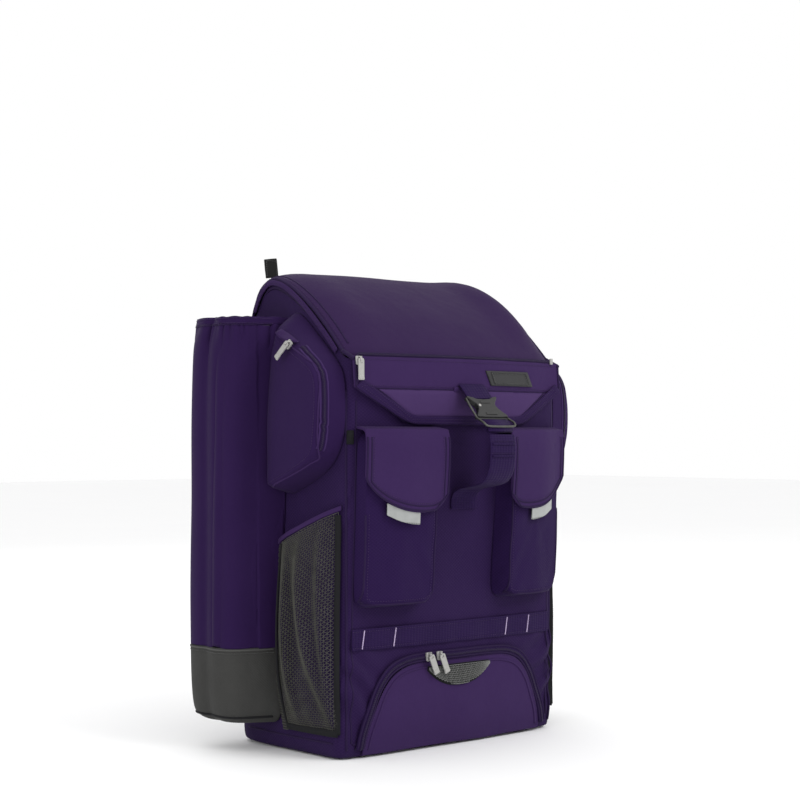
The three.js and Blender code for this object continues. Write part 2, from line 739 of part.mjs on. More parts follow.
// A point of the lid: share from -1 to 1 across it, t from its front edge to its tail.
function lidAt(share, t) {
  const row = seamRow(t);
  const [front, back] = lidEnds(share);
  const z = row.up * HEIGHT;
  const e = 0.01;
  const [near, far] = [seamRow(Math.max(0, t - e)), seamRow(Math.min(1, t + e))];
  const slope = new THREE.Vector2((far.run - near.run) * DEPTH, (far.up - near.up) * HEIGHT).normalize();
  const crown = THREE.MathUtils.lerp(LID_CROWN, LID_RIDGE, fade(t, 0.45, 0.7));
  const swell = crown * (1 - share ** LID_SHOULDER) * fade(t, 0, 0.16) * (1 - fade(t, 0.85, 1));
  const half = sectionAt(Math.min(z, HEIGHT)).half;
  return new THREE.Vector3(
    share * half,
    THREE.MathUtils.lerp(front, back, row.run) - slope.y * swell,
    z + slope.x * swell,
  );
}

// Height of the body's rim under the lid's side seam, clear of the lid's cloth.
function rimAt(run) {
  const reach = LID_CLOTH + 2 * GAP;
  const heights = steps(8, -1, 1).map(
    (s) => seamHeight(run + (s * reach) / DEPTH) - reach * Math.sqrt(1 - s * s),
  );
  return Math.min(...heights);
}

// Share of the lid's run at a station of the body.
function stationRun(station) {
  if (station.wall === "front" || station.name === "front") return 0;
  if (station.wall === "back" || station.name === "back") return 1;
  return station.t;
}

// The body shell: an open tub of padded cloth whose rim follows the lid.
function bodyShell() {
  const list = stations();
  const rims = list.map((station) => rimAt(stationRun(station)));
  const low = [0, 0.3].map((share) => share * BASE_EDGE);
  const ringAt = (share, wall) =>
    list.map((station, k) => stationPoint(station, THREE.MathUtils.lerp(BASE_EDGE, rims[k], share), wall));
  const outer = low.map((z) => list.map((station) => stationPoint(station, z, 0)));
  for (const share of steps(8)) outer.push(ringAt(share, 0));
  const inner = steps(4, 1, 0).map((share) => ringAt(share, CLOTH));
  inner.push(list.map((station) => stationPoint(station, BASE_EDGE / 2, CLOTH)));
  inner.push(list.map((station) => stationPoint(station, CLOTH, CLOTH)));
  return loft([...outer, ...inner]);
}

function lidPanel() {
  // The places across lie closer at the shoulders.
  const across = (u) => (2 * u - 1) * (1.25 - 0.25 * (2 * u - 1) ** 2);
  const at = (u, v) => lidAt(across(u), v);
  const rise = new THREE.Vector3(0, 0, 1);
  return sheet((u, v) => at(u, v).addScaledVector(squareTo(at, u, v, rise, false), -LID_CLOTH), {
    across: 10,
    along: 14,
    thick: LID_CLOTH,
    place: (p) => p,
    rise,
  });
}

// A welt on the side cloth, a little below the lid's seam and parallel to it.
function sideWelt() {
  const at = (u, v) => {
    const t = THREE.MathUtils.lerp(0.05, 0.86, u);
    const row = seamRow(t);
    const ahead = seamRow(t + 0.01);
    const run = new THREE.Vector2((ahead.run - row.run) * DEPTH, (ahead.up - row.up) * HEIGHT).normalize();
    const [front, back] = lidEnds(1);
    const drop = WELT_DROP + v * WELT_WIDTH;
    const y = THREE.MathUtils.lerp(front, back, row.run) + run.y * drop;
    return new THREE.Vector3(y, row.up * HEIGHT - run.x * drop, 0);
  };
  return sheet(at, { across: 14, along: 1, thick: WELT_THICK, place: onLeft });
}

// The flap that hangs from the lid's front edge, its bottom corners cut off at a slant.

function flapBottom(x) {
  const slant = THREE.MathUtils.clamp((Math.abs(x) - FLAP_FLAT_HALF) / (FLAP_HALF - FLAP_FLAT_HALF), 0, 1);
  return FLAP_TOP - THREE.MathUtils.lerp(FLAP_DROP, FLAP_CORNER_DROP, slant);
}

function flapX(u) {
  const edge = FLAP_FLAT_HALF / FLAP_HALF;
  const t = 2 * u - 1;
  const size = Math.abs(t);
  const share = size < 0.5 ? (size / 0.5) * edge : edge + ((size - 0.5) / 0.5) * (1 - edge);
  return Math.sign(t) * share * FLAP_HALF;
}

function lidFlap() {
  const at = (u, v) => {
    const x = flapX(u);
    const z = THREE.MathUtils.lerp(flapBottom(x), FLAP_TOP, v);
    return new THREE.Vector3(x, z, FLAP_LIFT * (1 - v));
  };
  return sheet(at, { across: 16, along: 3, thick: FLAP_CLOTH, place: onFlatFront });
}

// The sewn band round the flap's free edge.
function flapBand() {
  const at = (u, v) => {
    const x = flapX(u);
    const inset = BAND_WIDTH * v;
    const scale = 1 - inset / FLAP_HALF;
    const z = flapBottom(x) + inset;
    const share = (z - flapBottom(x)) / (FLAP_TOP - flapBottom(x));
    return new THREE.Vector3(x * scale, z, FLAP_LIFT * (1 - share) + FLAP_CLOTH + SEAT);
  };
  return sheet(at, { across: 16, along: 1, thick: BAND_THICK, place: onFlatFront });
}

// Zippers, sliders and pulls

function lidZipper() {
  const at = (u, v) => {
    const x = THREE.MathUtils.lerp(-FLAP_HALF + 2, FLAP_HALF - 2, u);
    return new THREE.Vector3(x, FLAP_TOP + GAP + v * ZIP_WIDTH, LID_ZIP_LIFT);
  };
  return sheet(at, { across: 14, along: 1, thick: ZIP_THICK, place: onFlatFront });
}

// A point on a surface, lift off it, with the directions square to it and up it.
function restOn(place, x, z, lift) {
  const e = 2;
  const across = place(new THREE.Vector3(x + e, z, 0)).sub(place(new THREE.Vector3(x - e, z, 0)));
  const up = place(new THREE.Vector3(x, z + e, 0)).sub(place(new THREE.Vector3(x, z - e, 0))).normalize();
  const off = across.cross(up).normalize();
  return { point: place(new THREE.Vector3(x, z, 0)).addScaledVector(off, lift), off, up };
}

// A slider's body, with the bridge that the pull hangs on. bridge is how high that stands.
function slider(bridge) {
  const base = plate(SLIDER_WIDTH, SLIDER_LENGTH, SLIDER_THICK * 0.6, 2.5);
  return joined(base, plate(SLIDER_WIDTH * 0.4, SLIDER_LENGTH * 0.8, bridge, 1).translate(0, 0, bridge / 2));
}

// A pull tab, its own Y running up to the slider.
function pullTab() {
  const hole = [0, PULL_LENGTH / 2 - 3.4, PULL_WIDTH * 0.5, 3, 1.2];
  return plate(PULL_WIDTH, PULL_LENGTH, PULL_THICK, 2.2, [hole]);
}

// A slider and its pull. The slider sits at point, off and up are its own directions. The pull lies
// on the foot of its bridge and hangs at a lean in degrees, lift further off.
function zipEnd({ point, off, up, lean, lift }) {
  const down = up.clone().negate().applyAxisAngle(off, THREE.MathUtils.degToRad(lean));
  const middle = point.clone().addScaledVector(down, PULL_LENGTH / 2 + SLIDER_LENGTH * 0.1);
  middle.addScaledVector(off, lift);
  return {
    slider: stand(slider(lift - PULL_THICK / 2 - GAP), point, off, up),
    pull: stand(pullTab(), middle, off, down.clone().negate()),
  };
}

// The slider waits past the zipper's left end, on the flap.
function lidZipEnd() {
  const [x, z] = [LID_SLIDER_IN - FLAP_HALF, FLAP_TOP - LID_SLIDER_DROP];
  const cloth = FLAP_LIFT * (LID_SLIDER_DROP / FLAP_CORNER_DROP) + FLAP_CLOTH;
  const lift = cloth + 1.6 * SEAT + SLIDER_THICK * 0.3;
  return zipEnd({ ...restOn(onFlatFront, x, z, lift), lean: 2, lift: LID_PULL_LIFT });
}

// The small stop that closes the lid zipper's other end.
function lidZipStop() {
  const z = FLAP_TOP + GAP + ZIP_WIDTH / 2;
  const lift = LID_ZIP_LIFT + ZIP_THICK + 2.5 * SEAT + STOP.thick / 2;
  const rest = restOn(onFlatFront, FLAP_HALF - LID_STOP_IN, z, lift);
  return stand(plate(STOP.wide, STOP.long, STOP.thick, 1), rest.point, rest.off, rest.up);
}

// Label patch: a plain slanted rubber plate sewn to the flap.
function labelPatch() {
  const at = (u, v) => {
    const z = FLAP_TOP - PATCH_DROP + (v - 0.5) * PATCH_HEIGHT;
    const x = PATCH_X + (u - 0.5) * PATCH_WIDTH - (v - 0.5) * PATCH_SLANT;
    const share = (z - flapBottom(x)) / (FLAP_TOP - flapBottom(x));
    return new THREE.Vector3(x, z, FLAP_LIFT * (1 - share) + FLAP_CLOTH + SEAT);
  };
  return sheet(at, { across: 3, along: 1, thick: PATCH_THICK, place: onFront });
}

// Bat sleeves

const bootTop = SLEEVE_FOOT + BOOT_HEIGHT;
const hemFoot = SLEEVE_TOP - HEM_HEIGHT;
const sleeveHeight = SLEEVE_TOP - SLEEVE_FOOT;
const sleeveWall = (z) => {
  const s = sectionAt(z);
  return s.half + s.side + SEAT;
};

const SLEEVE_CURVE = 24;
const SLEEVE_WALL_STEPS = 2;

// One ring of the sleeve at height z, its cloth set in by wall and its outline drawn in by round.
function sleeveRing(z, wall, round = 0) {
  const row = rowAt(SLEEVE_HEIGHTS, "up", (z - SLEEVE_FOOT) / sleeveHeight);
  const near = sleeveWall(z);
  const reach = (SLEEVE_REACH - near) * row.reach - round;
  const length = SLEEVE_LENGTH - 2 * round;
  const below = Math.max(0, hemFoot - z) / GATHER_FADE;
  const depth = GATHER_DEPTH * Math.exp(-below) * (1 - fade(below, 0, 2));
  const middle = new THREE.Vector2(0.5 * reach, length / 2);
  const plan = steps(SLEEVE_CURVE).map((t) => {
    const p = curveRow(SLEEVE_PLAN, t);
    return new THREE.Vector2(p.out * reach, p.along * length);
  });
  const ring = plan.map((p, i) => {
    const ahead = plan[Math.min(i + 1, SLEEVE_CURVE)].clone().sub(plan[Math.max(i - 1, 0)]).normalize();
    const inward = new THREE.Vector2(-ahead.y, ahead.x);
    if (inward.dot(middle.clone().sub(p)) < 0) inward.negate();
    const ripple = 0.5 + 0.5 * Math.cos((2 * Math.PI * GATHER_COUNT * i) / SLEEVE_CURVE);
    const gather = depth * ripple * Math.sin((Math.PI * i) / SLEEVE_CURVE);
    const q = p.clone().addScaledVector(inward, wall + gather);
    return new THREE.Vector2(Math.max(q.x, wall, 0), q.y);
  });
  const [last, first] = [ring[ring.length - 1], ring[0]];
  for (const t of steps(SLEEVE_WALL_STEPS).slice(1, -1)) {
    ring.push(new THREE.Vector2(Math.max(wall, 0), THREE.MathUtils.lerp(last.y, first.y, t)));
  }
  return ring.map((p) => new THREE.Vector3(-near - p.x, SLEEVE_FRONT + round + p.y, z));
}

function batSleeve() {
  const [foot, top] = [bootTop + GAP, hemFoot - GAP];
  const outer = [...steps(5, foot, top - GATHER_FADE), ...steps(2, top - GATHER_FADE / 2, top)];
  const inner = [...steps(1, foot, top - GATHER_FADE), top - GATHER_FADE / 4, top].reverse();
  const rings = outer.map((z) => sleeveRing(z, 0));
  return loft([...rings, ...inner.map((z) => sleeveRing(z, SLEEVE_CLOTH))], true);
}

function sleeveHem() {
  const heights = [hemFoot, SLEEVE_TOP];
  const outer = heights.map((z) => sleeveRing(z, -HEM_PROUD));
  const inner = heights.map((z) => sleeveRing(z, HEM_CLOTH - HEM_PROUD)).reverse();
  return loft([...outer, ...inner], true);
}

// The boot: the sleeve's foot of stiff black cloth, rounded underneath.
function sleeveBoot() {
  const rounded = (share) => {
    const angle = (share * Math.PI) / 2;
    const [up, round] = [1 - Math.sin(angle), 1 - Math.cos(angle)];
    return sleeveRing(SLEEVE_FOOT + BOOT_EDGE * up, 0, BOOT_EDGE * round);
  };
  const middle = SLEEVE_FOOT + BOOT_HEIGHT / 2;
  const outer = [1, 0.66, 0.33, 0].map(rounded);
  outer.push(sleeveRing(middle, 0), sleeveRing(bootTop, 0));
  const inner = [sleeveRing(bootTop, BOOT_CLOTH), sleeveRing(middle, BOOT_CLOTH)];
  inner.push(sleeveRing(SLEEVE_FOOT + BOOT_EDGE * 0.6, BOOT_CLOTH));
  inner.push(sleeveRing(SLEEVE_FOOT + BOOT_CLOTH, BOOT_CLOTH, BOOT_EDGE * 0.8));
  return loft([...outer, ...inner]);
}

// Zip pocket on the side: a flat face on a gusset, deepest at its front.

const SIDE_POCKET_MIDDLE = { y: -0.22, z: 0.715 }; // shares of DEPTH and of HEIGHT
const FACE_END = 0.6; // where a pocket's face ends, from its middle to its seam

function sidePocketAt(u, v) {
  const row = curveRow(SIDE_POCKET, u - Math.floor(u), true);
  const face = new THREE.Vector2(row.faceY * DEPTH, row.faceZ * HEIGHT);
  const root = new THREE.Vector2(row.rootY * DEPTH, row.rootZ * HEIGHT);
  const middle = new THREE.Vector2(SIDE_POCKET_MIDDLE.y * DEPTH, SIDE_POCKET_MIDDLE.z * HEIGHT);
  if (v < FACE_END) {
    const share = v / FACE_END;
    const p = middle.lerp(face, share);
    const edge = THREE.MathUtils.lerp(1, row.out, share ** 2);
    return new THREE.Vector3(p.x, p.y, GAP + SIDE_POCKET_OUT * edge);
  }
  const share = (v - FACE_END) / (1 - FACE_END);
  const p = face.lerp(root, Math.min(1, 0.12 + 0.88 * share));
  return new THREE.Vector3(p.x, p.y, GAP + SIDE_POCKET_OUT * row.out * (1 - share) ** 0.9);
}

function sidePocket() {
  return dome(sidePocketAt, {
    around: 26,
    levels: [0.35, 0.58, 0.68, 1],
    thick: SIDE_POCKET_CLOTH,
    place: onLeft,
  });
}

// The pocket's zipper runs on its gusset, round the front of the face.
const SIDE_ZIP = { from: 0.17, to: 0.5, inner: 0.665, outer: 0.77 };
const SIDE_SLIDER = { turn: 0.14, level: 0.6, back: 0.6, down: 0.8, seat: -0.3, lift: 4.4 };

function sideZipper() {
  const at = (u, v) => {
    const turn = THREE.MathUtils.lerp(SIDE_ZIP.from, SIDE_ZIP.to, u);
    const level = THREE.MathUtils.lerp(SIDE_ZIP.inner, SIDE_ZIP.outer, v);
    const p = sidePocketAt(turn, level);
    return p.addScaledVector(squareTo(sidePocketAt, turn, level, OUTWARDS, true), SEAT);
  };
  return sheet(at, { across: 14, along: 1, thick: SIDE_ZIP_THICK, place: onLeft });
}

// Its slider waits at the top rear, and the pull lies on the face, running back and down.
function sideZipEnd() {
  const at = (u, v) => onLeft(sidePocketAt(u, v));
  const { turn, level } = SIDE_SLIDER;
  const off = squareTo(at, turn, level, new THREE.Vector3(-1, 0, 0), true);
  const point = at(turn, level).addScaledVector(off, SIDE_SLIDER.seat + SLIDER_THICK * 0.3);
  const up = new THREE.Vector3(0, -SIDE_SLIDER.back, SIDE_SLIDER.down);
  up.addScaledVector(off, -up.dot(off)).normalize();
  return zipEnd({ point, off, up, lean: 0, lift: SIDE_SLIDER.lift });
}

// Mesh pocket

function meshAt(u, v) {
  const front = sectionAt(MESH_FOOT).front + 4;
  const y = THREE.MathUtils.lerp(front, SLEEVE_FRONT - MESH_REAR_GAP, u);
  const top = THREE.MathUtils.lerp(MESH_TOP_FRONT, MESH_TOP_BACK, u);
  const z = THREE.MathUtils.lerp(MESH_FOOT, top, v);
  const across = 1 - Math.abs(2 * u - 1) ** 3;
  const up = 0.55 * Math.sin((Math.PI / 2) * Math.min(1, v * 1.6)) + 0.45 * Math.sin(Math.PI * v) ** 0.8;
  let fold = 0;
  for (const f of MESH_FOLDS) fold += f.deep * bell(u - f.along, f.wide);
  const bulge = MESH_BULGE * across * up * (1 - fold * (1 - 0.6 * v));
  return new THREE.Vector3(y, z, bulge + MESH_REAR_OUT * u ** 2 * Math.min(1, v * 4));
}

// Shares of the pocket's depth where the mesh ends and its rear elastic begins.
const meshDepth = SLEEVE_FRONT - MESH_REAR_GAP - sectionAt(MESH_FOOT).front;
const BINDING_FROM = 1 - BINDING_WIDTH / meshDepth;
const MESH_TO = BINDING_FROM - SEAT / meshDepth;

function meshPocket() {
  const at = (u, v) => meshAt(u * MESH_TO, v);
  return sheet(at, { across: 11, along: 7, thick: MESH_THICK, place: onLeft });
}

// The folded tape that binds the mouth of the pocket.
function meshTopBinding() {
  const at = (u, v) => {
    const p = meshAt(u, 1);
    return new THREE.Vector3(p.x, p.y + SEAT + v * TOP_BINDING, p.z);
  };
  return sheet(at, { across: 12, along: 1, thick: MESH_THICK + 1, place: onLeft });
}

// Ribbed elastic along the rear edge of the mesh.
function meshBinding() {
  const at = (u, v) => meshAt(THREE.MathUtils.lerp(BINDING_FROM, 1, v), u * 0.99);
  return sheet(at, { across: 8, along: 1, thick: BINDING_THICK, place: onLeft });
}

// Flap pockets

// The rounded outline of a flap pocket: u runs round it, and inset draws each side in. A corner takes
// the first and the last CORNER_SHARE of each side.
const CORNER_SHARE = 0.2;
function pocketOutline(u, inset) {
  const [left, right] = [-POCKET_OUTER + inset.outer, -POCKET_INNER - inset.inner];
  const [foot, top] = [POCKET_FOOT + inset.foot, POCKET_TOP - inset.top];
  const corners = [
    [left, foot],
    [right, foot],
    [right, top],
    [left, top],
  ].map(([x, z]) => new THREE.Vector2(x, z));
  const turn = (u - Math.floor(u)) * corners.length;
  const side = Math.floor(turn);
  const [from, to] = [corners[side], corners[(side + 1) % corners.length]];
  const length = from.distanceTo(to);
  const ahead = to.clone().sub(from).divideScalar(length);
  const inward = new THREE.Vector2(-ahead.y, ahead.x);
  const near = Math.min(turn - side, 1 - turn + side); // share from the nearer corner
  const angle = (Math.max(0, 1 - near / CORNER_SHARE) * Math.PI) / 4;
  const straight = THREE.MathUtils.clamp((near - CORNER_SHARE) / (1 - 2 * CORNER_SHARE), 0, 1);
  const run = POCKET_CORNER * (1 - Math.sin(angle)) + straight * (length - 2 * POCKET_CORNER);
  const along = turn - side < 0.5 ? run : length - run;
  const drawnIn = POCKET_CORNER * (1 - Math.cos(angle));
  return from.clone().addScaledVector(ahead, along).addScaledVector(inward, drawnIn);
}

// Share of how far the pocket and its flap stand off at x: they fall away towards their outer edge.
const pocketMiddle = (POCKET_OUTER + POCKET_INNER) / 2;
const pocketStand = (x) => 1 - POCKET_SLOPE * fade(Math.abs(x), pocketMiddle, POCKET_OUTER);

const FACE_INSET = { outer: 3, inner: 9, foot: 5, top: 6 };
const NO_INSET = { outer: 0, inner: 0, foot: 0, top: 0 };

function frontPocketAt(u, v) {
  const middle = new THREE.Vector2(-pocketMiddle, (POCKET_FOOT + POCKET_TOP) / 2);
  const face = pocketOutline(u, FACE_INSET);
  if (v < FACE_END) {
    const share = v / FACE_END;
    const p = middle.lerp(face, share);
    const off = POCKET_OUT * (1 + POCKET_SWELL * (1 - share ** 3));
    return new THREE.Vector3(p.x, p.y, off * pocketStand(p.x));
  }
  const share = (v - FACE_END) / (1 - FACE_END);
  const p = face.lerp(pocketOutline(u, NO_INSET), share);
  return new THREE.Vector3(p.x, p.y, POCKET_OUT * (1 - share) ** 0.8 * pocketStand(p.x));
}

function frontPocket() {
  return dome(frontPocketAt, {
    around: 28,
    levels: [0.45, 0.6, 0.72, 1],
    thick: POCKET_CLOTH,
    place: onFront,
  });
}

// The pocket's flap: it comes off the body above the pocket and hangs over its face.
const pocketFlapOut = POCKET_OUT * (1 + POCKET_SWELL) + POCKET_CLOTH;
const pocketFlapBend = POCKET_TOP - 2; // where it has turned down

// Height of its lower edge at u, from its outer side, 0, to its inner side, 1.
const pocketFlapFoot = (u) => pocketFlapBend - POCKET_FLAP_DROP * (1 - 0.42 * (1 - u) ** 4 - 0.2 * u ** 12);

function pocketFlap() {
  const bend = 0.2;
  const at = (u, v) => {
    const x = THREE.MathUtils.lerp(-POCKET_OUTER - FLAP_OVER, -POCKET_INNER + FLAP_OVER, u);
    if (v < bend) {
      const angle = ((v / bend) * Math.PI) / 2;
      const off = pocketFlapOut * pocketStand(x) * Math.sin(angle);
      return new THREE.Vector3(x, pocketFlapBend + 6 * Math.cos(angle), off);
    }
    const share = (v - bend) / (1 - bend);
    const z = THREE.MathUtils.lerp(pocketFlapBend, pocketFlapFoot(u), share);
    return new THREE.Vector3(x, z, pocketFlapOut * pocketStand(x) + 0.5 * Math.sin(Math.PI * share));
  };
  return sheet(at, { across: 8, along: 7, thick: POCKET_FLAP_CLOTH, place: onFlatFront });
}

// The tab below its edge follows that edge.
function flapTab() {
  const over = (x) => (x + POCKET_OUTER + FLAP_OVER) / (POCKET_OUTER - POCKET_INNER + 2 * FLAP_OVER);
  const at = (u, v) => {
    const x = (u - 0.5) * TAB_WIDTH - pocketMiddle - TAB_SHIFT;
    const z = pocketFlapFoot(over(x)) - GAP - (1 - v) * TAB_HEIGHT;
    return new THREE.Vector3(x, z, pocketFlapOut * pocketStand(x));
  };
  return sheet(at, { across: 4, along: 1, thick: TAB_THICK, place: onFlatFront });
}

// Daisy chain webbing: tacked flat at each pitch, a little proud between.
function daisyChain() {
  const at = (u, v) => {
    const x = THREE.MathUtils.lerp(-CHAIN_HALF, CHAIN_HALF, u);
    const raised = Math.abs(x) < CHAIN_BAYS * CHAIN_PITCH;
    const swell = raised ? CHAIN_RISE * Math.abs(Math.sin((Math.PI * x) / CHAIN_PITCH)) : 0;
    return new THREE.Vector3(x, CHAIN_FOOT + v * CHAIN_HEIGHT, swell);
  };
  return sheet(at, { across: 28, along: 1, thick: CHAIN_THICK, place: onFront });
}

// Arch compartment

function archPoint(u, inset) {
  const t = 2 * u - 1;
  const row = curveRow(ARCH_OUTLINE, 1 - Math.abs(t));
  const x = Math.sign(t) * (ARCH_HALF - inset) * row.out;
  return new THREE.Vector2(x, (ARCH_TOP - inset) * row.up);
}

// How far the smooth panel swells off the front at x and z: least at its edges.
function archRise(x, z) {
  const edge = ARCH_ZIP_WIDTH + ARCH_SEAM;
  const across = 1 - Math.min(1, Math.abs(x) / (ARCH_HALF - edge)) ** 4;
  const share = THREE.MathUtils.clamp((z - ARCH_FOOT) / (ARCH_TOP - edge - ARCH_FOOT), 0, 1);
  const wave = Math.sin(Math.PI * THREE.MathUtils.lerp(ARCH_START, 1, share));
  return ARCH_RISE * across * wave ** 0.6;
}

function archPanel() {
  const at = (u, v) => {
    const edge = archPoint(u, ARCH_ZIP_WIDTH + ARCH_SEAM);
    const z = THREE.MathUtils.lerp(ARCH_FOOT, edge.y, v);
    return new THREE.Vector3(edge.x, z, archRise(edge.x, z));
  };
  return sheet(at, { across: 18, along: 4, thick: ARCH_CLOTH, place: onFront });
}

function archZipper() {
  const at = (u, v) => {
    const p = archPoint(u, ARCH_ZIP_WIDTH * (1 - v));
    return new THREE.Vector3(p.x, p.y, 0);
  };
  return sheet(at, { across: 24, along: 1, thick: ARCH_ZIP_THICK, place: onFront });
}

function archVent() {
  const at = (u, v) => {
    const x = THREE.MathUtils.lerp(-VENT_HALF, VENT_HALF, u);
    const drop = THREE.MathUtils.lerp(VENT_END, VENT_DROP, 1 - Math.abs(2 * u - 1) ** 2.6);
    const z = VENT_TOP - drop * (1 - v);
    return new THREE.Vector3(x, z, archRise(x, z) + ARCH_CLOTH + SEAT);
  };
  return sheet(at, { across: 8, along: 2, thick: VENT_THICK, place: onFront });
}

function archZipEnd(x) {
  const rest = restOn(onFront, x, ARCH_TOP - ARCH_ZIP_WIDTH / 2, ARCH_ZIP_THICK + SEAT + SLIDER_THICK * 0.3);
  return zipEnd({ ...rest, lean: ARCH_PULL_LEAN, lift: ARCH_PULL_LIFT });
}

// Buckled strap

function strapPoint(row) {
  const z = row.z * HEIGHT;
  return new THREE.Vector3(0, frontAt(0, z) - 1.6 * SEAT - STRAP_THICK / 2 - row.off * STRAP_OUT, z);
}
const SIDEWAYS = new THREE.Vector3(1, 0, 0);

function strapLength(rows, count) {
  return steps(count).map((t) => strapPoint(curveRow(rows, t)));
}

// The buckle lies on the line from the upper webbing to the top of the lower webbing.
const buckleTop = strapPoint(STRAP_PATH.upper[STRAP_PATH.upper.length - 1]);
const buckleFoot = strapPoint(STRAP_PATH.lower[0]);
const buckleAhead = buckleFoot.clone().sub(buckleTop).normalize();
const buckleOff = buckleAhead.clone().cross(SIDEWAYS);

function onBuckle(geometry, along) {
  const point = buckleTop.clone().addScaledVector(buckleAhead, along);
  return stand(geometry, point, buckleOff, buckleAhead.clone().negate());
}

// The prong half, with a slot for the upper webbing.
function buckleProngs() {
  const slot = [0, PRONG_LENGTH * 0.22, STRAP_WIDTH + 1, 4, 1];
  const body = plate(BUCKLE_WIDTH - 4, PRONG_LENGTH, BUCKLE_THICK * 0.6, 4, [slot]);
  return onBuckle(body, GAP + PRONG_LENGTH / 2);
}

// The socket half: a deep body, and below it an open frame whose bar carries the lower webbing.
function buckleSocket() {
  const length = SOCKET_LENGTH + FRAME_LENGTH;
  const window = [0, -length / 2 + FRAME_LENGTH / 2 + 2, STRAP_WIDTH + 2, FRAME_LENGTH - 6, 1.5];
  const frame = plate(BUCKLE_WIDTH, length, BUCKLE_THICK * 0.5, 5, [window]);
  const shell = plate(BUCKLE_WIDTH, SOCKET_LENGTH, BUCKLE_THICK, 5).translate(0, FRAME_LENGTH / 2, 0);
  return onBuckle(joined(frame, shell), 2 * GAP + PRONG_LENGTH + length / 2);
}

// Straps and pads on the carrying side

function backPad() {
  const at = (u, v) => {
    const [a, b] = [2 * u - 1, 2 * v - 1];
    const x = BACK_PAD_HALF * a * Math.sqrt(1 - 0.1 * b ** 6);
    const rounded = 0.03 * (BACK_PAD_TOP - BACK_PAD_FOOT) * b * a ** 6;
    return new THREE.Vector3(x, THREE.MathUtils.lerp(BACK_PAD_FOOT, BACK_PAD_TOP, v) - rounded, 0);
  };
  const thick = (u, v) => {
    const [a, b] = [Math.abs(2 * u - 1), Math.abs(2 * v - 1)];
    const rows = bell(v - 0.36, 0.04) + bell(v - 0.68, 0.04);
    const channel = 0.45 * bell(2 * u - 1, BACK_CHANNEL) + 0.3 * rows;
    const swell = (1 - a ** 6) * (1 - b ** 8) * (1 - Math.min(0.6, channel));
    return THREE.MathUtils.lerp(BACK_PAD_EDGE, BACK_PAD_THICK, swell);
  };
  return sheet(at, { across: 10, along: 11, thick, place: onBack });
}

const strapBackAt = (row) => {
  const z = row.z * HEIGHT;
  const x = -row.out * WIDTH;
  const behind = z > BACK_PAD_TOP || z < BACK_PAD_FOOT ? 0 : BACK_PAD_THICK;
  return new THREE.Vector3(x, backAt(x, z) + SEAT + behind + row.off * SHOULDER_WIDTH, z);
};

// A padded strap: flat with soft edges, its width from the path's table.
function paddedStrap(rows, count, thick) {
  const path = steps(count).map((t) => ({ ...curveRow(rows, t) }));
  const points = path.map((row) => strapBackAt(row).add(new THREE.Vector3(0, thick / 2, 0)));
  const rings = points.map((p, i) => {
    const ahead = points[Math.min(i + 1, count)].clone().sub(points[Math.max(i - 1, 0)]).normalize();
    const flat = SIDEWAYS.clone().cross(ahead).normalize();
    const wide = ahead.clone().cross(flat).normalize();
    const half = (path[i].wide * SHOULDER_WIDTH) / 2;
    const edge = [
      [-1, 0],
      [-0.86, -0.5],
      [0, -0.5],
      [0.86, -0.5],
      [1, 0],
      [0.86, 0.5],
      [0, 0.5],
      [-0.86, 0.5],
    ];
    return edge.map(([w, t]) => p.clone().addScaledVector(wide, w * half).addScaledVector(flat, t * thick));
  });
  return loft(rings);
}

// The ladder lock between the padded strap and its lower webbing.
function ladderLock() {
  const top = strapBackAt(SHOULDER_PATH[SHOULDER_PATH.length - 1]);
  const foot = strapBackAt(LOWER_WEB_PATH[0]);
  const ahead = foot.clone().sub(top);
  const length = ahead.length() - 2 * SEAT;
  ahead.normalize();
  const slots = [0.24, -0.24].map((share) => [0, share * length, LOWER_WEB_WIDTH + 1, length * 0.16, 0.8]);
  const middle = top.clone().lerp(foot, 0.5).add(new THREE.Vector3(0, LOWER_WEB_THICK / 2, 0));
  const off = ahead.clone().cross(SIDEWAYS).negate();
  return stand(plate(LOWER_WEB_WIDTH + 9, length, LOCK_THICK, 2, slots), middle, off, ahead.negate());
}

function lowerWebbing() {
  const raise = new THREE.Vector3(0, LOWER_WEB_THICK / 2, 0);
  const points = steps(8, 0.024).map((t) => strapBackAt(curveRow(LOWER_WEB_PATH, t)).add(raise));
  return webbing(points, LOWER_WEB_WIDTH, LOWER_WEB_THICK, SIDEWAYS);
}

// A haul handle: a padded loop that stands off the back, above the pad.
function haulHandle() {
  const points = steps(12).map((t) => {
    const angle = t * Math.PI;
    const x = -Math.cos(angle) * (HANDLE_SPAN / 2);
    const off = SEAT + HANDLE_RISE * Math.sin(angle) ** 0.8;
    return new THREE.Vector3(x, backAt(x, HANDLE_Z) + off, HANDLE_Z);
  });
  return webbing(points, HANDLE_WIDTH, HANDLE_THICK, new THREE.Vector3(0, 0, 1));
}

// The tag sewn into the lid's corner stands up from it, square to the lid there.
function cornerTag() {
  const [outer, inner] = [lidAt(-TAG_SHARE, TAG_RUN), lidAt(-TAG_SHARE + (2 * TAG_WIDTH) / WIDTH, TAG_RUN)];
  const slope = Math.atan2(inner.z - outer.z, inner.x - outer.x);
  const middle = outer.clone().lerp(inner, 0.5);
  return plate(TAG_WIDTH, TAG_HEIGHT, TAG_THICK, 1)
    .rotateX(Math.PI / 2)
    .translate(0, 0, TAG_HEIGHT / 2 + TAG_LIFT)
    .rotateY(-slope)
    .translate(middle.x, middle.y, middle.z);
}

// Assembly

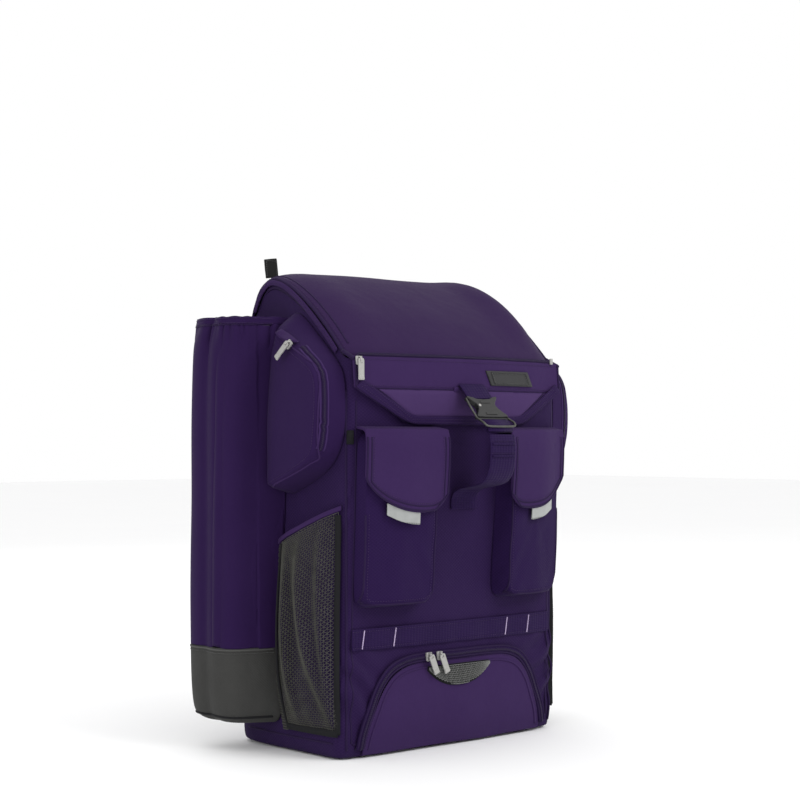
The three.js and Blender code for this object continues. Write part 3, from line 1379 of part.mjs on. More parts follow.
add("body_shell", bodyShell(), "cloth");
add("lid_panel", lidPanel(), "panel");
addPair("side_welt", sideWelt(), "panel");
add("lid_flap", lidFlap(), "panel");
add("flap_band", flapBand(), "panel");
add("lid_zipper", lidZipper(), "cloth");
const lidEnd = lidZipEnd();
add("lid_zip_slider", lidEnd.slider, "metal");
add("lid_zip_pull", lidEnd.pull, "metal");
add("lid_zip_stop", lidZipStop(), "metal");
add("label_patch", labelPatch(), "rubber");
addPair("bat_sleeve", batSleeve(), "sleeve");
addPair("sleeve_hem", sleeveHem(), "sleeve");
addPair("sleeve_boot", sleeveBoot(), "boot");
addPair("side_pocket", sidePocket(), "sleeve");
addPair("side_zipper", sideZipper(), "cloth");
addPair("mesh_pocket", meshPocket(), "mesh");
addPair("mesh_top_binding", meshTopBinding(), "cloth");
addPair("mesh_binding", meshBinding(), "mesh");
addPair("front_pocket", frontPocket(), "cloth");
addPair("pocket_flap", pocketFlap(), "panel");
addPair("flap_tab", flapTab(), "greyTab");
const sideEnd = sideZipEnd();
addPair("side_zip_slider", sideEnd.slider, "metal");
addPair("side_zip_pull", sideEnd.pull, "metal");
add("daisy_chain", daisyChain(), "webbing");
add("arch_panel", archPanel(), "panel");
add("arch_zipper", archZipper(), "cloth");
add("mesh_vent", archVent(), "mesh");
ARCH_SLIDERS.forEach((x, i) => {
  const end = archZipEnd(x);
  add("arch_zip_slider_" + (i + 1), end.slider, "metal");
  add("arch_zip_pull_" + (i + 1), end.pull, "metal");
});
add("strap_upper", webbing(strapLength(STRAP_PATH.upper, 5), STRAP_WIDTH, STRAP_THICK, SIDEWAYS), "webbing");
add("strap_lower", webbing(strapLength(STRAP_PATH.lower, 18), STRAP_WIDTH, STRAP_THICK, SIDEWAYS), "webbing");
add("buckle_prongs", buckleProngs(), "plastic");
add("buckle_socket", buckleSocket(), "plastic");
add("back_pad", backPad(), "padding");
addPair("shoulder_strap", paddedStrap(SHOULDER_PATH, 18, SHOULDER_THICK), "padding");
addPair("ladder_lock", ladderLock(), "plastic");
addPair("lower_webbing", lowerWebbing(), "webbing");
add("haul_handle", haulHandle(), "webbing");
add("corner_tag", cornerTag(), "boot");

export default bag;
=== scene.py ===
# A baseball bat backpack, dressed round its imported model. The bag stands alone on a pale floor,
# seen from its front left at mid height, a little under two and a half metres away.
# Metres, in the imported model's frame: X to the right, Y towards the wearer's back, Z up.
import math

import bmesh
import bpy
import numpy as np
from mathutils import Matrix, Vector, noise
from mathutils.bvhtree import BVHTree


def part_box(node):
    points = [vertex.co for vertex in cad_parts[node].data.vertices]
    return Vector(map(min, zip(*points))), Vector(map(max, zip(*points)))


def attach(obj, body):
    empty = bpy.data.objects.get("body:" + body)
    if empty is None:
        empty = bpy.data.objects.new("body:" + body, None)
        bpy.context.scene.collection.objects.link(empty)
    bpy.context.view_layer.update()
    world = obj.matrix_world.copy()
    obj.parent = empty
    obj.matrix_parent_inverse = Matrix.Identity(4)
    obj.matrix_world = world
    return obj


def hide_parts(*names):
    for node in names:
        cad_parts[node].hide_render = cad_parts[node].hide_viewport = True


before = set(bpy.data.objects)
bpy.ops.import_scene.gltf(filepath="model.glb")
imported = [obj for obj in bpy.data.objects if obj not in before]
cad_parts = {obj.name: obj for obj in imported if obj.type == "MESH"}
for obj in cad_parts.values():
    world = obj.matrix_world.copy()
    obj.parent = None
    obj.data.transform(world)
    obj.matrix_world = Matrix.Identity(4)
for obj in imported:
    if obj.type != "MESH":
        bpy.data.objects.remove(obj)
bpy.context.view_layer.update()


# The camera stands in front of the bag and to its left, at mid height, and looks level. Its frame is
# raised a little, so that upright edges stay upright.
camera = bpy.data.objects.new("camera", bpy.data.cameras.new("camera"))
bpy.context.scene.collection.objects.link(camera)
camera.data.sensor_width = 36
camera.data.lens = 77.2
camera.data.shift_y = 0.0475
camera.location = (-1.5224, -1.7152, 0.394)
camera.rotation_euler = (math.radians(90), 0, math.radians(-41.7))
bpy.context.scene.camera = camera


# The floor and the light: a white studio sweep, a large key light from the upper right of the
# camera, a weaker one from the left, and an even white surround.
class Wire:
    """A shader socket in a Python expression: each operator adds its Math node."""

    def __init__(self, finish, socket):
        self.finish = finish
        self.socket = socket

    def maths(self, operation, *values):
        return self.finish.node("Math", dict(enumerate(values)), operation=operation)

    def __add__(self, other):
        return self.maths("ADD", self, other)

    def __sub__(self, other):
        return self.maths("SUBTRACT", self, other)

    def __mul__(self, other):
        return self.maths("MULTIPLY", self, other)

    def __gt__(self, other):
        return self.maths("GREATER_THAN", self, other)

    def wave(self, pitch):
        """A sine wave that turns over at every pitch along this wire."""
        turn = self * (math.pi / pitch)
        return turn.maths("SINE", turn)

    __radd__ = __add__
    __rmul__ = __mul__


class Finish:
    """A material in the making. node() adds any node: its settings first, then its sockets."""

    def __init__(self, name, **fixed):
        self.material = bpy.data.materials.new(name)
        self.material.use_nodes = True
        self.tree = self.material.node_tree
        self.shader = self.tree.nodes["Principled BSDF"]
        for socket, value in fixed.items():
            self.shader.inputs[socket.replace("_", " ")].default_value = value
        self.place = self.node("TexCoord", out=3)

    def node(self, kind, sockets=None, out=0, **settings):
        made = self.tree.nodes.new("ShaderNode" + kind)
        for key, value in settings.items():
            setattr(made, key, value)
        for key, value in (sockets or {}).items():
            if isinstance(value, Wire):
                self.tree.links.new(value.socket, made.inputs[key])
            else:
                made.inputs[key].default_value = value
        return Wire(self, made.outputs[out])

    def give(self, socket, wire):
        self.tree.links.new(wire.socket, self.shader.inputs[socket])

    # A soft noise round a place, from 0 to 1. size is its grain in metres.
    def blotch(self, place, size, detail=2.0):
        return self.node("TexNoise", {"Vector": place, "Scale": 1 / size, "Detail": detail})

    # A colour between two, by a wire from 0 to 1.
    def between(self, share, dark, light):
        sockets = {0: share, 6: (*dark, 1), 7: (*light, 1)}
        return self.node("Mix", sockets, out=2, data_type="RGBA")

    def raised(self, height, distance):
        return self.node("Bump", {"Height": height, "Distance": distance, "Strength": 1.0})

    # How far a place on the cloth lies across it (0) or up it (1), from its flat map in metres.
    def on_cloth(self, way):
        return self.node("SeparateXYZ", {"Vector": self.node("UVMap", uv_map="cloth")}, out=way)


def plain_finish(name, grain, dark, light, detail=2.0, **fixed):
    """One colour that varies softly between two. grain is in metres."""
    finish = Finish(name, **fixed)
    finish.tone = finish.blotch(finish.place, grain, detail)
    finish.give("Base Color", finish.between(finish.tone, dark, light))
    return finish


floor_mesh = bmesh.new()
bmesh.ops.create_grid(floor_mesh, x_segments=1, y_segments=1, size=12)
floor_data = bpy.data.meshes.new("floor")
floor_mesh.to_mesh(floor_data)
floor = bpy.data.objects.new("floor", floor_data)
bpy.context.scene.collection.objects.link(floor)
floor_paint = plain_finish("studio_floor", 0.4, (0.93, 0.93, 0.935), (0.95, 0.95, 0.95), Roughness=0.85)
floor.data.materials.append(floor_paint.material)

world = bpy.data.worlds.new("studio")
world.use_nodes = True
world.node_tree.nodes["Background"].inputs["Color"].default_value = (1, 1, 1, 1)
world.node_tree.nodes["Background"].inputs["Strength"].default_value = 1.0
bpy.context.scene.world = world
bpy.context.scene.view_settings.view_transform = "Standard"


def add_light(name, place, power, size):
    light = bpy.data.objects.new(name, bpy.data.lights.new(name, "AREA"))
    light.data.energy = power
    light.data.size = size
    light.location = place
    light.rotation_euler = (Vector((0, 0, 0.3)) - Vector(place)).to_track_quat("-Z", "Y").to_euler()
    bpy.context.scene.collection.objects.link(light)


add_light("key_light", (0.9, -2.6, 2.6), 46, 1.8)
add_light("fill_light", (-2.8, -0.6, 1.4), 10, 2.0)
add_light("back_light", (0.4, 2.6, 2.2), 20, 2.0)


# The lid: one panel of smooth coated cloth over thin foam, in a close plain weave. It is sewn to the
# sides along a piped seam, with a row of stitches inside it, and falls from its ridge to the zipper.
def cloth_from(name, node, levels=2, sharp=40, crease=0.7):
    """The node's solid as cloth: its triangles joined to squares, its borders creased, then rounded."""
    made = bmesh.new()
    made.from_mesh(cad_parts[node].data)
    bmesh.ops.remove_doubles(made, verts=made.verts, dist=2e-5)
    bmesh.ops.join_triangles(
        made, faces=made.faces, angle_face_threshold=math.radians(30), angle_shape_threshold=math.radians(60)
    )
    folded = made.edges.layers.float.new("crease_edge")
    for edge in made.edges:
        if edge.calc_face_angle(0) > math.radians(sharp):
            edge[folded] = crease
    piece = piece_of(name, made)
    piece.modifiers.new("rounding", "SUBSURF").levels = levels
    return settle(piece)


def piece_of(name, made):
    """An object from a bmesh, which it uses up."""
    data = bpy.data.meshes.new(name)
    made.to_mesh(data)
    made.free()
    piece = bpy.data.objects.new(name, data)
    bpy.context.scene.collection.objects.link(piece)
    return piece


def settle(piece, smooth=True):
    """Applies the modifiers."""
    graph = bpy.context.evaluated_depsgraph_get()
    data = bpy.data.meshes.new_from_object(piece.evaluated_get(graph), depsgraph=graph)
    piece.modifiers.clear()
    piece.data = data
    if smooth:
        data.shade_smooth()
    return piece


def moved(piece, shift):
    """Moves each point along its normal by shift(place, normal), in metres."""
    data = piece.data
    normals = [Vector(v.normal) for v in data.vertices]
    for vertex, normal in zip(data.vertices, normals):
        vertex.co += normal * shift(vertex.co, normal)
    data.update()
    return piece


def dress(piece, finish, slot, *nodes):
    """Gives a piece its finish, its place on the bag and the solids that it stands in for."""
    piece.data.materials.clear()
    piece.data.materials.append(finish.material)
    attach(piece, "root")
    if nodes:
        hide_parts(*nodes)
    return piece


def both_sides(piece, finish, slot, *nodes):
    """Dresses a piece of the left side and sews its mirrored twin to the right side."""
    dress(piece, finish, slot, *nodes)
    twin = bpy.data.objects.new(piece.name.replace("left", "right"), piece.data.copy())
    bpy.context.scene.collection.objects.link(twin)
    twin.data.transform(Matrix.Scale(-1, 4, (1, 0, 0)))
    twin.data.flip_normals()
    dress(twin, finish, slot, *[node.replace("left", "right") for node in nodes])
    return piece, twin


def put_on(piece, finish, slot, *nodes):
    """Dresses a piece, and gives it a twin on the right where its name says left."""
    return (both_sides if "left" in piece.name else dress)(piece, finish, slot, *nodes)


def flat_map(piece):
    """A UV map in metres that lies flat on the cloth: across on it and up it."""
    data = piece.data
    layer = data.uv_layers.new(name="cloth")
    for face in data.polygons:
        n = face.normal
        for k in face.loop_indices:
            p = data.vertices[data.loops[k].vertex_index].co
            if abs(n.x) > max(abs(n.y), abs(n.z)):
                layer.data[k].uv = (p.y, p.z)
            elif abs(n.y) > abs(n.z) * 0.45:
                layer.data[k].uv = (p.x, p.z)
            else:
                layer.data[k].uv = (p.x, p.y)
    return piece


def skin_of(*pieces):
    """The pieces' faces as one skin that seams are laid on."""
    points, faces = [], []
    for piece in pieces:
        start = len(points)
        points += [v.co.copy() for v in piece.data.vertices]
        faces += [[start + k for k in face.vertices] for face in piece.data.polygons]
    return BVHTree.FromPolygons(points, faces)


# From each side: where its rays start and where they run, for a place given across and up.
SIGHTS = {
    "front": (lambda a, b: (a, -0.45, b), (0, 1, 0)),
    "back": (lambda a, b: (a, 0.45, b), (0, -1, 0)),
    "left": (lambda a, b: (-0.5, a, b), (1, 0, 0)),
    "top": (lambda a, b: (a, b, 0.9), (0, 0, -1)),
}


def laid(skin, flat, side):
    """A flat path as points on the skin with the normals there, seen from one side of the bag."""
    start, run = SIGHTS[side]
    path = []
    for a, b in flat:
        place, normal, _, _ = skin.ray_cast(Vector(start(a, b)), Vector(run))
        if place is not None:
            path.append((place, normal if normal.dot(Vector(run)) < 0 else -normal))
    return path


def paced(points, pitch):
    """Points every pitch along a path of straight pieces, which may lie flat or in space."""
    points = np.array(points, float)
    lengths = np.concatenate([[0], np.cumsum(np.linalg.norm(np.diff(points, axis=0), axis=1))])
    count = max(2, round(lengths[-1] / pitch) + 1)
    at = np.linspace(0, lengths[-1], count)
    return np.stack([np.interp(at, lengths, column) for column in points.T], axis=1)


def curved(points, count):
    """A smooth curve through a few flat points."""
    p = np.array(points, float)
    p = np.vstack([2 * p[0] - p[1], p, 2 * p[-1] - p[-2]])
    spans = len(p) - 3
    at = np.linspace(0, spans, count)
    i = np.minimum(at.astype(int), spans - 1)
    f = (at - i)[:, None]
    a, b, c, d = p[i], p[i + 1], p[i + 2], p[i + 3]
    return 0.5 * (2 * b + (c - a) * f + (2 * a - 5 * b + 4 * c - d) * f**2 + (3 * b - a - 3 * c + d) * f**3)


def directions(path):
    """Along, across and off at each point of a laid path."""
    frames = []
    for i, (place, normal) in enumerate(path):
        ahead = path[min(i + 1, len(path) - 1)][0] - path[max(i - 1, 0)][0]
        ahead = ahead.normalized()
        across = ahead.cross(normal).normalized()
        frames.append((place, ahead, across, across.cross(ahead).normalized()))
    return frames


def swept(name, path, section):
    """A trim swept along a laid path. section is its outline, as places across and off."""
    made = bmesh.new()
    rings = []
    for place, _, across, off in directions(path):
        rings.append([made.verts.new(place + across * a + off * o) for a, o in section])
    for near, far in zip(rings, rings[1:]):
        for j in range(len(near)):
            k = (j + 1) % len(near)
            made.faces.new((near[j], near[k], far[k], far[j]))
    made.faces.new(rings[0][::-1])
    made.faces.new(rings[-1])
    bmesh.ops.recalc_face_normals(made, faces=made.faces)
    piece = piece_of(name, made)
    piece.data.shade_smooth()
    return piece


def cord_section(radius, lift=0.0, sides=8):
    turns = [2 * math.pi * k / sides for k in range(sides)]
    return [(radius * math.cos(t), lift + radius * math.sin(t)) for t in turns]


def band_section(width, thick, lift=0.0):
    w, soft, under = width / 2, width * 0.42, lift - thick * 0.3
    return [(-w, lift), (-soft, lift + thick), (soft, lift + thick), (w, lift), (soft, under), (-soft, under)]


def scattered(name, shape, places):
    """One mesh of many copies of a small shape, each set by its matrix."""
    corners = np.array([(*v.co, 1.0) for v in shape.verts])
    faces = np.array([[v.index for v in face.verts] for face in shape.faces])
    points = np.concatenate([corners @ np.array(place).T[:, :3] for place in places])
    data = bpy.data.meshes.new(name)
    whole = np.concatenate([faces + k * len(corners) for k in range(len(places))])
    data.from_pydata(points.tolist(), [], whole.tolist())
    piece = bpy.data.objects.new(name, data)
    bpy.context.scene.collection.objects.link(piece)
    data.shade_smooth()
    return piece


def stitched(name, path, long=0.0021, thick=0.00045, lift=0.0003):
    """A row of stitches: one small bead of thread at each point of a laid path."""
    bead = bmesh.new()
    bmesh.ops.create_icosphere(bead, subdivisions=1, radius=1)
    bead.verts.index_update()
    places = []
    for place, ahead, across, off in directions(path):
        turn = Matrix((ahead * long / 2, across * thick, off * thick)).transposed().to_4x4()
        places.append(Matrix.Translation(place + off * lift) @ turn)
    return scattered(name, bead, places)


def sewn(name, path, section, finish, slot):
    """A trim swept along a laid path and sewn on."""
    return put_on(flat_map(swept(name, path, section)), finish, slot)


def stitch_row(name, path, thread, slot):
    return put_on(stitched(name, path), thread, slot)


def cloth_finish(name, dark, light, thread=0.0009, ripstop=0.0, roughness=0.72, bump=0.00012, crumple=0.4):
    """Plain woven cloth. With ripstop, thicker threads cross it at that distance."""
    finish = Finish(
        name, Roughness=roughness, Specular_IOR_Level=0.06, Sheen_Weight=0.02, Sheen_Roughness=0.5
    )
    across, up = finish.on_cloth(0), finish.on_cloth(1)
    height = across.wave(thread) * up.wave(thread) * 0.5 + 0.5
    broad = finish.blotch(finish.place, 0.09, 3)
    fine = finish.blotch(finish.place, 0.003)
    tone = broad * 0.55 + fine * 0.3 + height * 0.15
    if ripstop:
        ribs = 0
        for line in ((across * 0.8 + up) * (1 / ripstop), (across * 0.8 - up) * (1 / ripstop)):
            ribs = ribs + (line.maths("PINGPONG", line, 0.5) > 0.4)
        height = height * 0.5 + ribs * 0.9
        tone = tone + ribs * 0.55
    finish.give("Base Color", finish.between(tone, dark, light))
    finish.give("Roughness", fine * 0.12 + (roughness - 0.06))
    wrinkle = finish.blotch(finish.place, 0.035, 4)
    finish.give("Normal", finish.raised(height + wrinkle * (crumple * 40), bump))
    return finish


panel_cloth = cloth_finish("panel_cloth", (0.0260, 0.0105, 0.0560), (0.0400, 0.0190, 0.0790))
# The lid is the same smooth cloth as the panels, darkened as painted shade to hold back the strong light that
# falls on its top.
lid_cloth_painted_shade = cloth_finish("lid_cloth_painted_shade", (0.0200, 0.0080, 0.0420), (0.0320, 0.0145, 0.0600))
# Darker than the panels. It serves the real piping cords, and also thin bands laid along seams, folds and
# grooves as painted shade of their valleys.
cord_and_seam_shade = cloth_finish("cord_and_seam_shade", (0.014, 0.007, 0.032), (0.026, 0.013, 0.052), thread=0.0006)
thread_dark = plain_finish(
    "purple_thread", 0.004, (0.024, 0.010, 0.050), (0.048, 0.025, 0.090),
    Roughness=0.6, Specular_IOR_Level=0.2,
)

lid = cloth_from("lid", "lid_panel")


def lid_ease(place, normal):
    """A little slack, and a swell of the foam on both shoulders, fuller on the right."""
    slack = 0.0022 * noise.noise(Vector((place.x * 7, place.y * 9, 1.3)))
    fade = max(0.0, 1 - abs(place.x) / 0.17)
    swell = 0.0125 if place.x > 0 else 0.0035
    swell *= math.exp(-(((abs(place.x) - 0.137) / 0.027) ** 2)) * math.exp(-(((place.y + 0.04) / 0.075) ** 2))
    swell *= max(0.0, min(1.0, (place.z - 0.500) / 0.035))
    return slack * min(1, fade * 3) + swell if normal.z > 0 else 0.0


dress(flat_map(moved(lid, lid_ease)), lid_cloth_painted_shade, "panel", "lid_panel")


def lid_side():
    """The lid's left edge from front to back: the outermost points of its panel."""
    top = [v.co for v in lid.data.vertices if v.co.x < -0.12]
    rows = []
    for k in range(44):
        y = -0.104 + k * (0.098 + 0.104) / 43
        near = [p for p in top if abs(p.y - y) < 0.006]
        edge = min(near, key=lambda p: p.x)
        rows.append(edge)
    rows = np.array(rows)
    return np.array([rows[max(0, i - 2) : i + 3].mean(axis=0) for i in range(len(rows))])


lid_skin = skin_of(lid)
edge_rows = lid_side()
edge_path = [(Vector(p), Vector((-0.7, 0, 0.7))) for p in paced(edge_rows, 0.004)]
sewn("lid_piping_left", edge_path, cord_section(0.0021), cord_and_seam_shade, "panel")
turned_under = [(Vector((x + 0.006, y, z - 0.006)), Vector((-0.7, 0, 0.7))) for x, y, z in edge_rows]
sewn("lid_seam_allowance_left", turned_under, band_section(0.020, 0.002), cord_and_seam_shade, "panel")
inner_edge = paced([(x + 0.0045, y) for x, y, _ in edge_rows[1:-4]], 0.0036)
stitch_row("lid_stitches_left", laid(lid_skin, inner_edge, "top"), thread_dark, "panel")
inner_edge = paced([(x + 0.0105, y) for x, y, _ in edge_rows[1:-4]], 0.003)
# A thin dark band inside the stitches: painted shade of the fold in the lid's cloth.
sewn("lid_fold_left", laid(lid_skin, inner_edge, "top"), band_section(0.0022, 0.0006), cord_and_seam_shade, "panel")


# The side welts: narrow folded strips of the lid's cloth along both sides, just under its seam.
# Each is sewn down along its lower edge.
welt = flat_map(cloth_from("welt_cloth_left", "side_welt_left"))
both_sides(welt, panel_cloth, "panel", "side_welt_left")
welt_skin = skin_of(welt)
welt_line = paced([(y + 0.002, z - 0.0052) for _, y, z in edge_rows[3:-7]], 0.0034)
stitch_row("welt_stitches_left", laid(welt_skin, welt_line, "left"), thread_dark, "panel")


# The lid zipper: a fine coil on dark tape, sewn into the seam between lid and flap. Its left end
# turns down to the slider, and a small metal stop closes its right end.
zip_tape = cloth_finish("zip_tape", (0.012, 0.006, 0.028), (0.022, 0.011, 0.046), thread=0.0011)


def zipper(name, path, node, width=0.0044):
    """A zipper's tape with its row of teeth along a laid path."""
    tape = flat_map(swept(name + "_tape", path, band_section(width, 0.0008)))
    tooth = bmesh.new()
    bmesh.ops.create_cube(tooth, size=1)
    bmesh.ops.bevel(
        tooth, geom=tooth.edges[:], offset=0.2, segments=1, affect="EDGES", profile=0.5, material=-1
    )
    tooth.verts.index_update()
    bmesh.ops.triangulate(tooth, faces=tooth.faces)
    places = []
    for i, (place, ahead, across, off) in enumerate(directions(path)):
        shift = across * (0.0004 if i % 2 else -0.0004)
        turn = Matrix((across * 0.0016, ahead * 0.0007, off * 0.0008)).transposed().to_4x4()
        places.append(Matrix.Translation(place + shift + off * 0.0009) @ turn)
    teeth = scattered(name + "_teeth", tooth, places)
    put_on(tape, zip_tape, "cloth", node)
    put_on(teeth, zip_teeth, "cloth")


zip_teeth = plain_finish(
    "zip_teeth", 0.01, (0.016, 0.009, 0.032), (0.03, 0.018, 0.055), Roughness=0.45, Specular_IOR_Level=0.3
)

flap = cloth_from("flap_cloth", "lid_flap", levels=3, sharp=35, crease=0.8)
zip_body = skin_of(lid, flap, cloth_from("zip_ground", "lid_zipper"))
bpy.data.objects.remove(bpy.data.objects["zip_ground"])
zip_line = [(-0.1768, 0.4905), (-0.1758, 0.4950)] + [(x / 1000, 0.4965) for x in range(-172, 164, 4)]
zipper("lid_zip", laid(zip_body, paced(zip_line, 0.0012), "front"), "lid_zipper")


# Sliders and pulls: die-cast zinc with a satin grey lacquer. The pull is a flat bar with a thumb
# bump at its end, hung on the slider's bridge.
pull_metal = plain_finish(
    "satin_grey_metal", 0.004, (0.30, 0.295, 0.285), (0.40, 0.395, 0.38), 3,
    Metallic=0.25, Specular_IOR_Level=0.4,
)
pull_metal.give("Roughness", pull_metal.tone * 0.2 + 0.34)
pull_metal.give("Normal", pull_metal.raised(pull_metal.blotch(pull_metal.place, 0.0007), 0.00004))


def frame_of(node):
    """Middle of a flat node with its long, cross and thin directions."""
    points = np.array([v.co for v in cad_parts[node].data.vertices])
    middle = points.mean(axis=0)
    _, _, turns = np.linalg.svd(points - middle, full_matrices=False)
    return Vector(middle), [Vector(t).normalized() for t in turns]


def cut(name, outline, thick, bevel=0.0005, segments=2, holes=()):
    """A plate cut to a flat outline, its edges rounded. Holes are cut out of it last."""
    made = bmesh.new()
    face = made.faces.new([made.verts.new((x, y, -thick / 2)) for x, y in outline])
    grown = bmesh.ops.extrude_face_region(made, geom=[face])
    raised = [v for v in grown["geom"] if isinstance(v, bmesh.types.BMVert)]
    bmesh.ops.translate(made, verts=raised, vec=(0, 0, thick))
    bmesh.ops.recalc_face_normals(made, faces=made.faces)
    rims = [e for e in made.edges if e.calc_face_angle(0) > 0.9]
    bmesh.ops.bevel(
        made, geom=rims, offset=bevel, segments=segments, affect="EDGES", profile=0.6, clamp_overlap=True,
        material=-1,
    )
    piece = piece_of(name, made)
    for hole in holes:
        cutter = cut(name + "_hole", hole, thick * 3, bevel * 0.2, 1)
        bite = piece.modifiers.new("hole", "BOOLEAN")
        bite.object = cutter
        settle(piece, smooth=False)
        bpy.data.objects.remove(cutter)
    for face in piece.data.polygons:
        face.use_smooth = False
    return piece


def joined(name, *pieces):
    """Several meshes as one piece."""
    whole = bmesh.new()
    for piece in pieces:
        piece.data.transform(piece.matrix_world)
        whole.from_mesh(piece.data)
        bpy.data.objects.remove(piece)
    return piece_of(name, whole)


def rounded_box(width, length, corner, arc=4):
    """The outline of a flat rounded rectangle."""
    points = []
    for k, (sx, sy) in enumerate(((1, -1), (1, 1), (-1, 1), (-1, -1))):
        for j in range(arc + 1):
            turn = math.radians(-90 + 90 * k + 90 * j / arc)
            x = sx * (width / 2 - corner) + corner * math.cos(turn)
            points.append((x, sy * (length / 2 - corner) + corner * math.sin(turn)))
    return points


def set_in(piece, middle, across, along, off):
    """Turns a piece from its own axes to these and moves it to its middle."""
    piece.data.transform(Matrix.Translation(middle) @ Matrix((across, along, off)).transposed().to_4x4())


def zip_end(slider_node, pull_node, up, outward):
    """A slider and its pull where their solids stand."""
    middle, (long, _, thin) = frame_of(pull_node)
    off = thin if thin.dot(outward) > 0 else -thin
    up = (up - off * up.dot(off)).normalized()
    long = long if long.dot(up) > 0 else -long
    bar_side = [(0.0036, 0.0128), (0.0044, 0.0105), (0.0042, -0.009), (0.0047, -0.0122), (0.0038, -0.0134)]
    bar = [(-0.0036, 0.0128)] + bar_side + [(-x, y) for x, y in bar_side[:0:-1]]
    eye = [(x, y + 0.0098) for x, y in rounded_box(0.0042, 0.0026, 0.001, 2)]
    blade = cut("blade", bar, 0.0018, 0.0005, 2, [eye])
    bump = [(x, y - 0.0098) for x, y in rounded_box(0.0074, 0.0052, 0.0016, 3)]
    thumb = cut("thumb", bump, 0.0028, 0.0007, 2)
    pull = joined(pull_node.replace("_pull", "_bar"), blade, thumb)
    set_in(pull, middle, long.cross(off), long, off)
    seat = frame_of(slider_node)[0]
    nose_side = [(0.0044, 0.0056), (0.0046, 0.0022), (0.0038, -0.0046), (0.002, -0.0058)]
    nose = [(-0.0044, 0.0056)] + nose_side + [(-x, y) for x, y in nose_side[:0:-1]]
    body = cut("body", nose, 0.003, 0.0009, 3)
    arch_turns = [(math.cos(t), math.sin(t)) for t in np.linspace(0.05, math.pi - 0.05, 9)]
    bridge_path = [(Vector((0, 0.0046 * c, 0.0052 * s)), Vector((0, c, s))) for c, s in arch_turns]
    bridge = swept("bridge", bridge_path, band_section(0.0032, 0.0011))
    slider = joined(slider_node.replace("_slider", "_body"), body, bridge)
    set_in(slider, seat - off * 0.0008, up.cross(off), up, off)
    put_on(slider, pull_metal, "metal", slider_node)
    put_on(pull, pull_metal, "metal", pull_node)


zip_end("lid_zip_slider", "lid_zip_pull", Vector((0, 0, 1)), Vector((0, -1, 0)))
stop = cut("zip_stop", rounded_box(0.005, 0.008, 0.0012), 0.002, 0.0005)
seat, _ = frame_of("lid_zip_stop")
stop.data.transform(Matrix.Translation(seat) @ Matrix.Rotation(math.radians(90), 4, "X"))
dress(stop, pull_metal, "metal", "lid_zip_stop")


# The lid's front flap: a band of woven cloth above a smooth panel, the panel framed by a border
# of ripstop. Each seam is topstitched, and the free edge is bound.
rip_cloth = cloth_finish("ripstop_cloth", (0.0130, 0.0042, 0.0350), (0.0240, 0.0105, 0.0540), ripstop=0.0042)
flap_panel_rim = [(-0.1465, 0.4535), (-0.0925, 0.4195), (0.0925, 0.4195), (0.1465, 0.4535)]


def panel_half(z):
    """Half the smooth panel's width at a height, as its ends slant."""
    return 0.0925 + (z - 0.4195) * 1.52


def refined(piece, wanted, cuts):
    """Cuts the faces that are wanted into smaller ones."""
    made = bmesh.new()
    made.from_mesh(piece.data)
    edges = list({edge for face in made.faces if wanted(face) for edge in face.edges})
    bmesh.ops.subdivide_edges(made, edges=edges, cuts=cuts, use_grid_fill=True)
    made.to_mesh(piece.data)
    made.free()


def flap_shape(place, normal):
    """The band sinks a little at its lower seam, the smooth panel swells inside its border."""
    x, z = place.x, place.z
    seam = -0.0014 * math.exp(-(((z - 0.4548) / 0.0016) ** 2))
    inside = min((panel_half(z) - abs(x)) / 0.004, (z - 0.4205) / 0.003, (0.4530 - z) / 0.003)
    panel = 0.0012 * max(0.0, min(1.0, inside))
    ease = 0.0016 * noise.noise(Vector((x * 14, 4.2, z * 18)))
    return seam + panel + ease if normal.y < 0 else 0.0


refined(flap, lambda face: face.normal.y < -0.5, 1)
moved(flap, flap_shape)
flap_skin = skin_of(flap)
dress(flat_map(flap), panel_cloth, "panel", "lid_flap")
flap_light = cloth_finish("flap_panel_cloth", (0.0400, 0.0190, 0.0780), (0.0590, 0.0310, 0.1050))
flap.data.materials.append(flap_light.material)
for face in flap.data.polygons:
    x, _, z = face.center
    if face.normal.y < -0.5 and 0.421 < z < 0.4535 and abs(x) < panel_half(z):
        face.material_index = 1

band = cloth_from("flap_border", "flap_band")
dress(flat_map(band), rip_cloth, "panel", "flap_band")
border_skin = skin_of(flap, band)
# Thin dark bands along the flap's two seams: painted shade of the seam valleys.
for name, line in (
    ("flap_band_seam_shade", [(-0.164, 0.4548), (0.164, 0.4548)]),
    ("flap_panel_seam_shade", flap_panel_rim),
):
    path = laid(flap_skin, paced(line, 0.003), "front")
    sewn(name, path, band_section(0.0016, 0.0007), cord_and_seam_shade, "panel")
for name, line in (
    ("flap_stitches_band", [(-0.168, 0.4580), (0.168, 0.4580)]),
    ("flap_stitches_top", [(-0.174, 0.4900), (0.172, 0.4900)]),
    ("flap_stitches_edge", [(-0.172, 0.4565), (-0.0985, 0.4135), (0.0985, 0.4135), (0.172, 0.4565)]),
    ("flap_stitches_border", [(-0.162, 0.4590), (-0.0955, 0.4172), (0.0955, 0.4172), (0.162, 0.4590)]),
):
    stitch_row(name, laid(border_skin, paced(line, 0.0034), "front"), thread_dark, "panel")
edge_line = [
    (-0.1795, 0.4900), (-0.1795, 0.4570), (-0.1, 0.4116), (0.1, 0.4116), (0.1795, 0.4570), (0.1795, 0.4900),
]
edge_path = laid(flap_skin, paced(edge_line, 0.004), "front")
sewn("flap_binding", edge_path, cord_section(0.0016), cord_and_seam_shade, "panel")
corner_line = paced([edge_rows[0], tuple(edge_path[0][0])], 0.0025)
corner_path = [(Vector(p), Vector((-0.7, -0.7, 0))) for p in corner_line]
sewn("lid_corner_cord_left", corner_path, cord_section(0.0027), cord_and_seam_shade, "panel")


